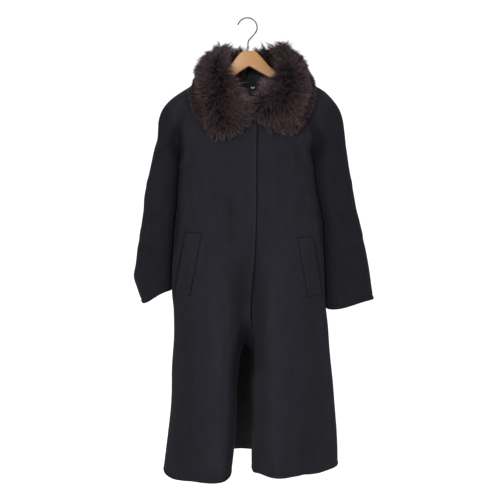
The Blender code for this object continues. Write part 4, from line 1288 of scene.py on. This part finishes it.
class CoatSettings(bpy.types.PropertyGroup):
    """Sizes and colours of the coat that a user would change"""

    wool_colour: colour_setting("Wool", "Colour of the cloth", (0.0099, 0.0095, 0.0125))
    wool_sheen: number_setting("Nap Sheen", "How much light the cloth's nap catches", 0.02, 0, 1)
    lining_colour: colour_setting("Lining", "Colour inside the coat", (0.0095, 0.0095, 0.0100))
    fold_depth: number_setting(
        "Fold Depth", "How deep the cloth's soft folds are", 1.0, 0, 2, subtype="FACTOR"
    )
    waviness: length_setting("Waviness", "Height of the slow unevenness of the panels", 0.0007, 0, 0.003)
    fur_root_colour: colour_setting("Fur Root", "Colour of the hair near the skin", (0.0098, 0.0038, 0.0048))
    fur_tip_colour: colour_setting("Fur Tip", "Colour of the hair's tips", (0.072, 0.045, 0.050))
    fur_length: length_setting("Hair Length", "Length of the longest hair", 0.031, 0.01, 0.05)
    fur_hairs: IntProperty(name="Hairs", description="Hairs in each lock", default=13, min=3, max=30)
    fur_density: number_setting("Locks", "Locks of hair on a square metre of pelt", 58000, 1000, 200000)
    wood_colour: colour_setting("Wood", "Colour of the hanger", (0.28, 0.125, 0.0225))
    metal_colour: colour_setting("Wire", "Colour of the hook", (0.085, 0.085, 0.09))
    stitch_length: length_setting("Stitch", "Length of a stitch", 0.0026, 0.001, 0.006)
    floor_height: length_setting("Floor", "Height of the floor under the rail", -1.52, -3, -1.3)


def finished(made, replaces=()):
    """Marks a piece as part of the coat and the solids it stands for."""
    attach(made, "root")
    if replaces:
        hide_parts(*replaces)


def declared(made, node):
    """Marks a piece as part of the coat, in place of its solid."""
    finished(made, [node])


def material(name, maker, *given):
    """A material by its name, made when it isn't there yet."""
    return bpy.data.materials.get(name) or maker(*given)


class COAT_OT_cloth(bpy.types.Operator):
    """Makes the fronts, the back and the sleeves"""

    bl_idname = "coat.cloth"
    bl_label = "Cloth"

    def execute(self, context):
        settings = context.scene.coat
        cloth = [
            material("brushed_navy_wool", wool_finish, settings),
            material("dark_twill_lining", lining_finish, settings),
        ]
        fronts, halves, sleeves = coat_grids()
        faces, back_faces, arm_faces = shared_normals(fronts, halves, sleeves)
        for side in (RIGHT, LEFT):
            self.front(side, fronts[side], faces[side], cloth, settings)
        for side in (RIGHT, LEFT):
            self.sleeve(side, sleeves[side], arm_faces[side], cloth, settings)
        grid = np.concatenate([halves[RIGHT], halves[LEFT][:, -2::-1]], axis=1)
        normals = np.concatenate([back_faces[RIGHT], back_faces[LEFT][:, -2::-1]], axis=1)
        raised = self.raised(BACK_FOLDS, grid, settings) * border_fade(grid)
        outer, inner = walled(grid + raised[..., None] * normals, normals, (0, -1))
        cloth.append(material("dark_neck_facing", facing_finish, settings))
        made = cloth_wall("wool_back", outer, inner, cloth, 0, facing=YOKE_ROWS // 2)
        declared(made, "back")
        return {"FINISHED"}

    @staticmethod
    def raised(folds, grid, settings):
        height = settings.fold_depth * fold_height(folds, grid[..., 0], grid[..., 2])
        return height + (hem_roll(grid) + unevenness(grid, settings.waviness))

    def front(self, side, grid, normals, cloth, settings):
        name = side_name(side)
        fade = border_fade(grid)
        free = fade[:, :12]  # the free edge keeps its folds; only the neckline is even
        free[:] = np.maximum(free, smooth(np.arange(len(grid)) / FADE_ROWS)[:, None])
        raised = self.raised(FRONT_FOLDS, grid, settings)
        if side == RIGHT:
            raised += edge_band(grid) * above(grid[..., 2], ROLL_START, 30 * MM)
        outer, inner = walled(grid + (raised * fade)[..., None] * normals, normals, (-1,))
        painted_light = front_painted_shading(side, grid, normals)
        made = cloth_wall(f"wool_front_{name}", outer, inner, cloth, painted_light)
        declared(made, "front_" + name)

    def sleeve(self, side, grid, normals, cloth, settings):
        name = side_name(side)
        z = grid[..., 2]
        fade = border_fade(grid)
        fade[TOP_ROWS:] = 1
        ease = below(z, UNDERARM, 40 * MM)
        folds = settings.fold_depth * sleeve_folds(grid) * ease
        raised = (folds + unevenness(grid, settings.waviness)) * fade
        inwards = np.cos(np.linspace(0, 2 * math.pi, grid.shape[1]))[None, :]
        beside = above(inwards, 0.2, 0.3)
        raised = raised * (1 - beside) + hem_roll(grid) * ease * (1 - 0.6 * beside)
        raised += self.swell(z, side) * ease
        raised[TOP_ROWS:, -1] = raised[TOP_ROWS:, 0]
        outer, inner = walled(grid + raised[..., None] * normals, normals, (0, -1), TOP_ROWS)
        painted_light = sleeve_painted_shading(grid, normals, raised, inwards)
        made = cloth_wall(f"wool_sleeve_{name}", outer, inner, cloth, painted_light, TOP_ROWS)
        declared(made, "sleeve_" + name)

    @staticmethod
    def swell(z, side):
        """The back of a sleeve's inner side, which rests against the body down to near the cuff."""
        degrees = np.linspace(0, 360, z.shape[1])[None, :]
        down = above(z, SLEEVE_REST[side] - REST_BLEND, REST_BLEND) * (1 + 0.35 * below(z, -0.6, 0.15))
        return LEAN_TO_BODY * down * bump(degrees, *LEAN_AT)


class COAT_OT_pockets(bpy.types.Operator):
    """Makes the slanted welts and their stitching"""

    bl_idname = "coat.pockets"
    bl_label = "Pockets"

    def execute(self, context):
        settings = context.scene.coat
        cloth = [material("brushed_navy_wool", wool_finish, settings)] * 2
        thread = material("navy_thread", thread_finish, settings)
        shape = (WELT_ROWS, WELT_COLUMNS)
        down, across = np.meshgrid(*(np.linspace(0, 1, count) for count in shape), indexing="ij")
        rim = np.minimum(np.minimum(down, 1 - down) * WELT_LONG, np.minimum(across, 1 - across) * WELT_WIDE)
        lift = WELT_RIM + WELT_RISE * smooth(0.35 + 0.65 * rim / WELT_ROUND)
        lift += WELT_LIP * bump(across, 0.93, 0.06)
        for side in (RIGHT, LEFT):
            name = side_name(side)
            corners = np.array(WELTS[side]) * MM
            inner_edge = corners[0] + down[..., None] * (corners[3] - corners[0])
            outer_edge = corners[1] + down[..., None] * (corners[2] - corners[1])
            place = inner_edge + across[..., None] * (outer_edge - inner_edge)
            point, normal = front_surface(*place.reshape(-1, 2).T, side)
            high = (point + lift.reshape(-1, 1) * normal).reshape(*shape, 3)
            low = (point + WELT_FOOT * normal).reshape(*shape, 3)
            # painted light and shade of the front under the welt, and a painted shadow round its rim
            painted_light = fold_height(PAINTED_SHADING, place[..., 0], place[..., 1]) - RIM_SHADOW * bump(rim, 0, 2.4)
            made = cloth_wall(f"wool_welt_{name}", high, low, cloth, painted_light)
            declared(made, "welt_" + name)
            lines = [high[2:-2, 2], high[2, 2:-1], high[-3, 2:-1]]
            sewn = stitched(f"welt_stitches_{name}", lines, thread, settings.stitch_length)
            finished(sewn)
        return {"FINISHED"}


class COAT_OT_fur(bpy.types.Operator):
    """Grows the collar's fur"""

    bl_idname = "coat.fur"
    bl_label = "Fur Collar"

    def execute(self, context):
        settings = context.scene.coat
        hair = material("plum_brown_fur", fur_finish, settings)
        skin = material("dark_underfur", pelt_finish, settings)
        locks = bpy.data.collections.new("fur_locks")
        for k in range(LOCKS):
            tip_width = (LOCK_TIP[0] + LOCK_TIP[1] * (k % 3)) * MM
            lean = (LOCK_BEND[0] + LOCK_BEND[1] * (k % 4)) * MM
            name, seed = f"lock_{k}", 40 + k
            lock = hair_lock(name, settings.fur_hairs, seed, settings.fur_length, tip_width, lean)
            locks.objects.link(lock)
        tree = fur_tree()
        for side in (RIGHT, LEFT):
            name = side_name(side)
            pelt, *comb = combed(side, PELT_DEPTH * settings.fur_length)
            ends = [pelt[0].mean(axis=0), pelt[-1].mean(axis=0)]
            points = np.concatenate([pelt.reshape(-1, 3), ends])
            under = add_piece(f"fur_pelt_{name}", points, lofted_faces(RINGS, RING_POINTS), [skin])
            oriented(under.data)
            finished(under, ["collar_" + name])
            for k, part, rows, share in (
                (0, "front", slice(0, FRONT_RINGS + 1), 1),
                (1, "back", slice(FRONT_RINGS, RINGS), BACK_DENSITY),
            ):
                made = self.grown(f"fur_{part}_{name}", pelt[rows], [grid[rows] for grid in comb], tree, {
                    "Locks": locks, "Density": settings.fur_density * share, "Seed": 11 * k + side + 5,
                    "Disorder": DISORDER, "Size": 1.0, "Finish": hair,
                })
                finished(made, ["collar_" + name])
        for lock in list(locks.objects):
            bpy.data.objects.remove(lock)
        bpy.data.collections.remove(locks)
        return {"FINISHED"}

    @staticmethod
    def grown(name, pelt, comb, tree, inputs):
        """The hair of one stretch of the pelt, as a piece of its own."""
        rings, count = pelt.shape[:2]
        faces = lofted_faces(rings, count)[: (rings - 1) * count]
        carrier = add_piece(name + "_skin", pelt.reshape(-1, 3), faces, [])
        stand, lie, *rest = comb
        combing = (unit(stand + LEAN * lie), lie, *rest)
        for label, values in zip(("stand", "lie", "tall", "cover", "shade"), combing):
            kind, key = ("FLOAT_VECTOR", "vector") if values.ndim == 3 else ("FLOAT", "value")
            layer = carrier.data.attributes.new(label, kind, "POINT")
            layer.data.foreach_set(key, np.ascontiguousarray(values, dtype=np.float32).ravel())
        made = run_tree(carrier, tree, inputs, name)
        for extra in ("stand", "lie", "tall", "cover"):
            if extra in made.data.attributes:
                made.data.attributes.remove(made.data.attributes[extra])
        return made


class COAT_OT_hanger(bpy.types.Operator):
    """Makes the shaped wood, the hook and the coat's small hanging ring"""

    bl_idname = "coat.hanger"
    bl_label = "Hanger"

    def execute(self, context):
        settings = context.scene.coat
        made = wooden_hanger(material("varnished_maple", wood_finish, settings))
        finished(made, ["hanger_wood"])
        dark = material("polished_wire", metal_finish, "polished_wire", tuple(settings.metal_colour), 0.28)
        middle = -(HOOK_RADIUS - WIRE / 2)
        route = [
            (HOOK_RADIUS * math.cos(a), 0, middle + HOOK_RADIUS * math.sin(a))
            for a in np.radians(np.linspace(HOOK_ARC_START, HOOK_ARC_END, 40))
        ]
        route += [(x, 0, z) for x, z in zip(HOOK_BEND["x"], HOOK_BEND["z"])]
        route.append((HOOK_BEND["x"][-1], 0, SHANK_FOOT))
        finished(wire("wire_hook", route, WIRE_SHOWN / 2, dark), ["hanger_hook"])
        back = float(value(SHOULDERS, "back", -186 * MM)) - WALL - 2 * RING_WIRE
        (x, z), (wide, high) = RING_AT, RING_SIZE
        ring = [
            (x + wide * math.cos(a), back, z + high * math.sin(a))
            for a in np.radians(np.linspace(-200, 20, 14))
        ]
        bright = material("bright_ring", metal_finish, "bright_ring", (0.6, 0.6, 0.6), 0.35)
        finished(wire("hanging_ring", ring, RING_WIRE, bright))
        return {"FINISHED"}


class COAT_OT_stage(bpy.types.Operator):
    """Makes the pale floor, the lights and the camera"""

    bl_idname = "coat.stage"
    bl_label = "Stage"

    def execute(self, context):
        floor = context.scene.coat.floor_height
        white = {"Emission_Color": (1, 1, 1, 1)}
        paper = Finish("pale_paper", 0.9, Emission_Strength=FLOOR_GLOW, **white)
        grain = paper.noise((40, 40, 40))
        paper.shade(Base_Color=paper.ramp(grain, (0.3, (0.86, 0.86, 0.86)), (0.7, (0.9, 0.9, 0.9))))
        glow = Finish("lit_backdrop", 0.9, Specular_IOR_Level=0.0, Emission_Strength=BACKDROP_GLOW, **white)
        cloud = glow.noise((9, 9, 9), 2.0)
        glow.shade(Base_Color=glow.ramp(cloud, (0.3, (0.16, 0.16, 0.16)), (0.7, (0.18, 0.18, 0.18))))
        curve = [
            (FLOOR_BACK + SWEEP * math.sin(a), floor + SWEEP * (1 - math.cos(a)))
            for a in np.linspace(0, math.pi / 2, 13)
        ]
        for name, profile, finish in (
            ("stage_floor", [(FLOOR_FRONT, floor), (FLOOR_BACK, floor)], paper),
            ("stage_backdrop", [*curve, (FLOOR_BACK + SWEEP, floor + BACKDROP_RISE)], glow),
        ):
            points = [(x, y, z) for y, z in profile for x in (-FLOOR_SIDE, FLOOR_SIDE)]
            faces = [(2 * k, 2 * k + 1, 2 * k + 3, 2 * k + 2) for k in range(len(profile) - 1)]
            sheet = add_piece(name, points, faces, [finish.material])
        sheet.visible_diffuse = sheet.visible_glossy = False
        for name, place, aim, size, watts in LAMPS:
            lamp = bpy.data.lights.new(name, "AREA")
            lamp.shape, lamp.size, lamp.energy = "SQUARE", size, watts
            holder = linked(name, lamp)
            holder.location = place
            holder.rotation_euler = (Vector(aim) - Vector(place)).to_track_quat("-Z", "Y").to_euler()
        world = context.scene.world = bpy.data.worlds.new("studio")
        world.use_nodes = True
        sky = world.node_tree.nodes["Background"]
        sky.inputs["Color"].default_value = (1, 1, 1, 1)
        sky.inputs["Strength"].default_value = WORLD_LIGHT
        context.scene.view_settings.view_transform = "Standard"
        camera = bpy.data.cameras.new("photo_camera")
        camera.sensor_width, camera.lens = SENSOR, PHOTO_FOCUS / PHOTO_SIDE * SENSOR
        camera.shift_y = PHOTO_SHIFT / PHOTO_SIDE
        holder = context.scene.camera = linked("photo_camera", camera)
        holder.location, holder.rotation_euler = CAMERA_AT, (math.pi / 2, 0, 0)
        return {"FINISHED"}


class COAT_PT_panel(bpy.types.Panel):
    """Lists the coat's pieces and settings"""

    bl_idname = "COAT_PT_panel"
    bl_label = "Fur Collar Coat"
    bl_space_type = "VIEW_3D"
    bl_region_type = "UI"
    bl_category = "Coat"

    def draw(self, context):
        for name in CoatSettings.__annotations__:
            self.layout.prop(context.scene.coat, name)
        for step in STEPS:
            self.layout.operator(step.bl_idname)


STEPS = (COAT_OT_cloth, COAT_OT_pockets, COAT_OT_fur, COAT_OT_hanger, COAT_OT_stage)
CLASSES = (CoatSettings, *STEPS, COAT_PT_panel)


def register():
    for kind in CLASSES:
        bpy.utils.register_class(kind)
    bpy.types.Scene.coat = PointerProperty(type=CoatSettings)


def unregister():
    del bpy.types.Scene.coat
    for kind in reversed(CLASSES):
        bpy.utils.unregister_class(kind)


def main():
    register()
    bpy.ops.coat.cloth()
    bpy.ops.coat.pockets()
    bpy.ops.coat.fur()
    bpy.ops.coat.hanger()
    bpy.ops.coat.stage()


if __name__ == "__main__":
    main()
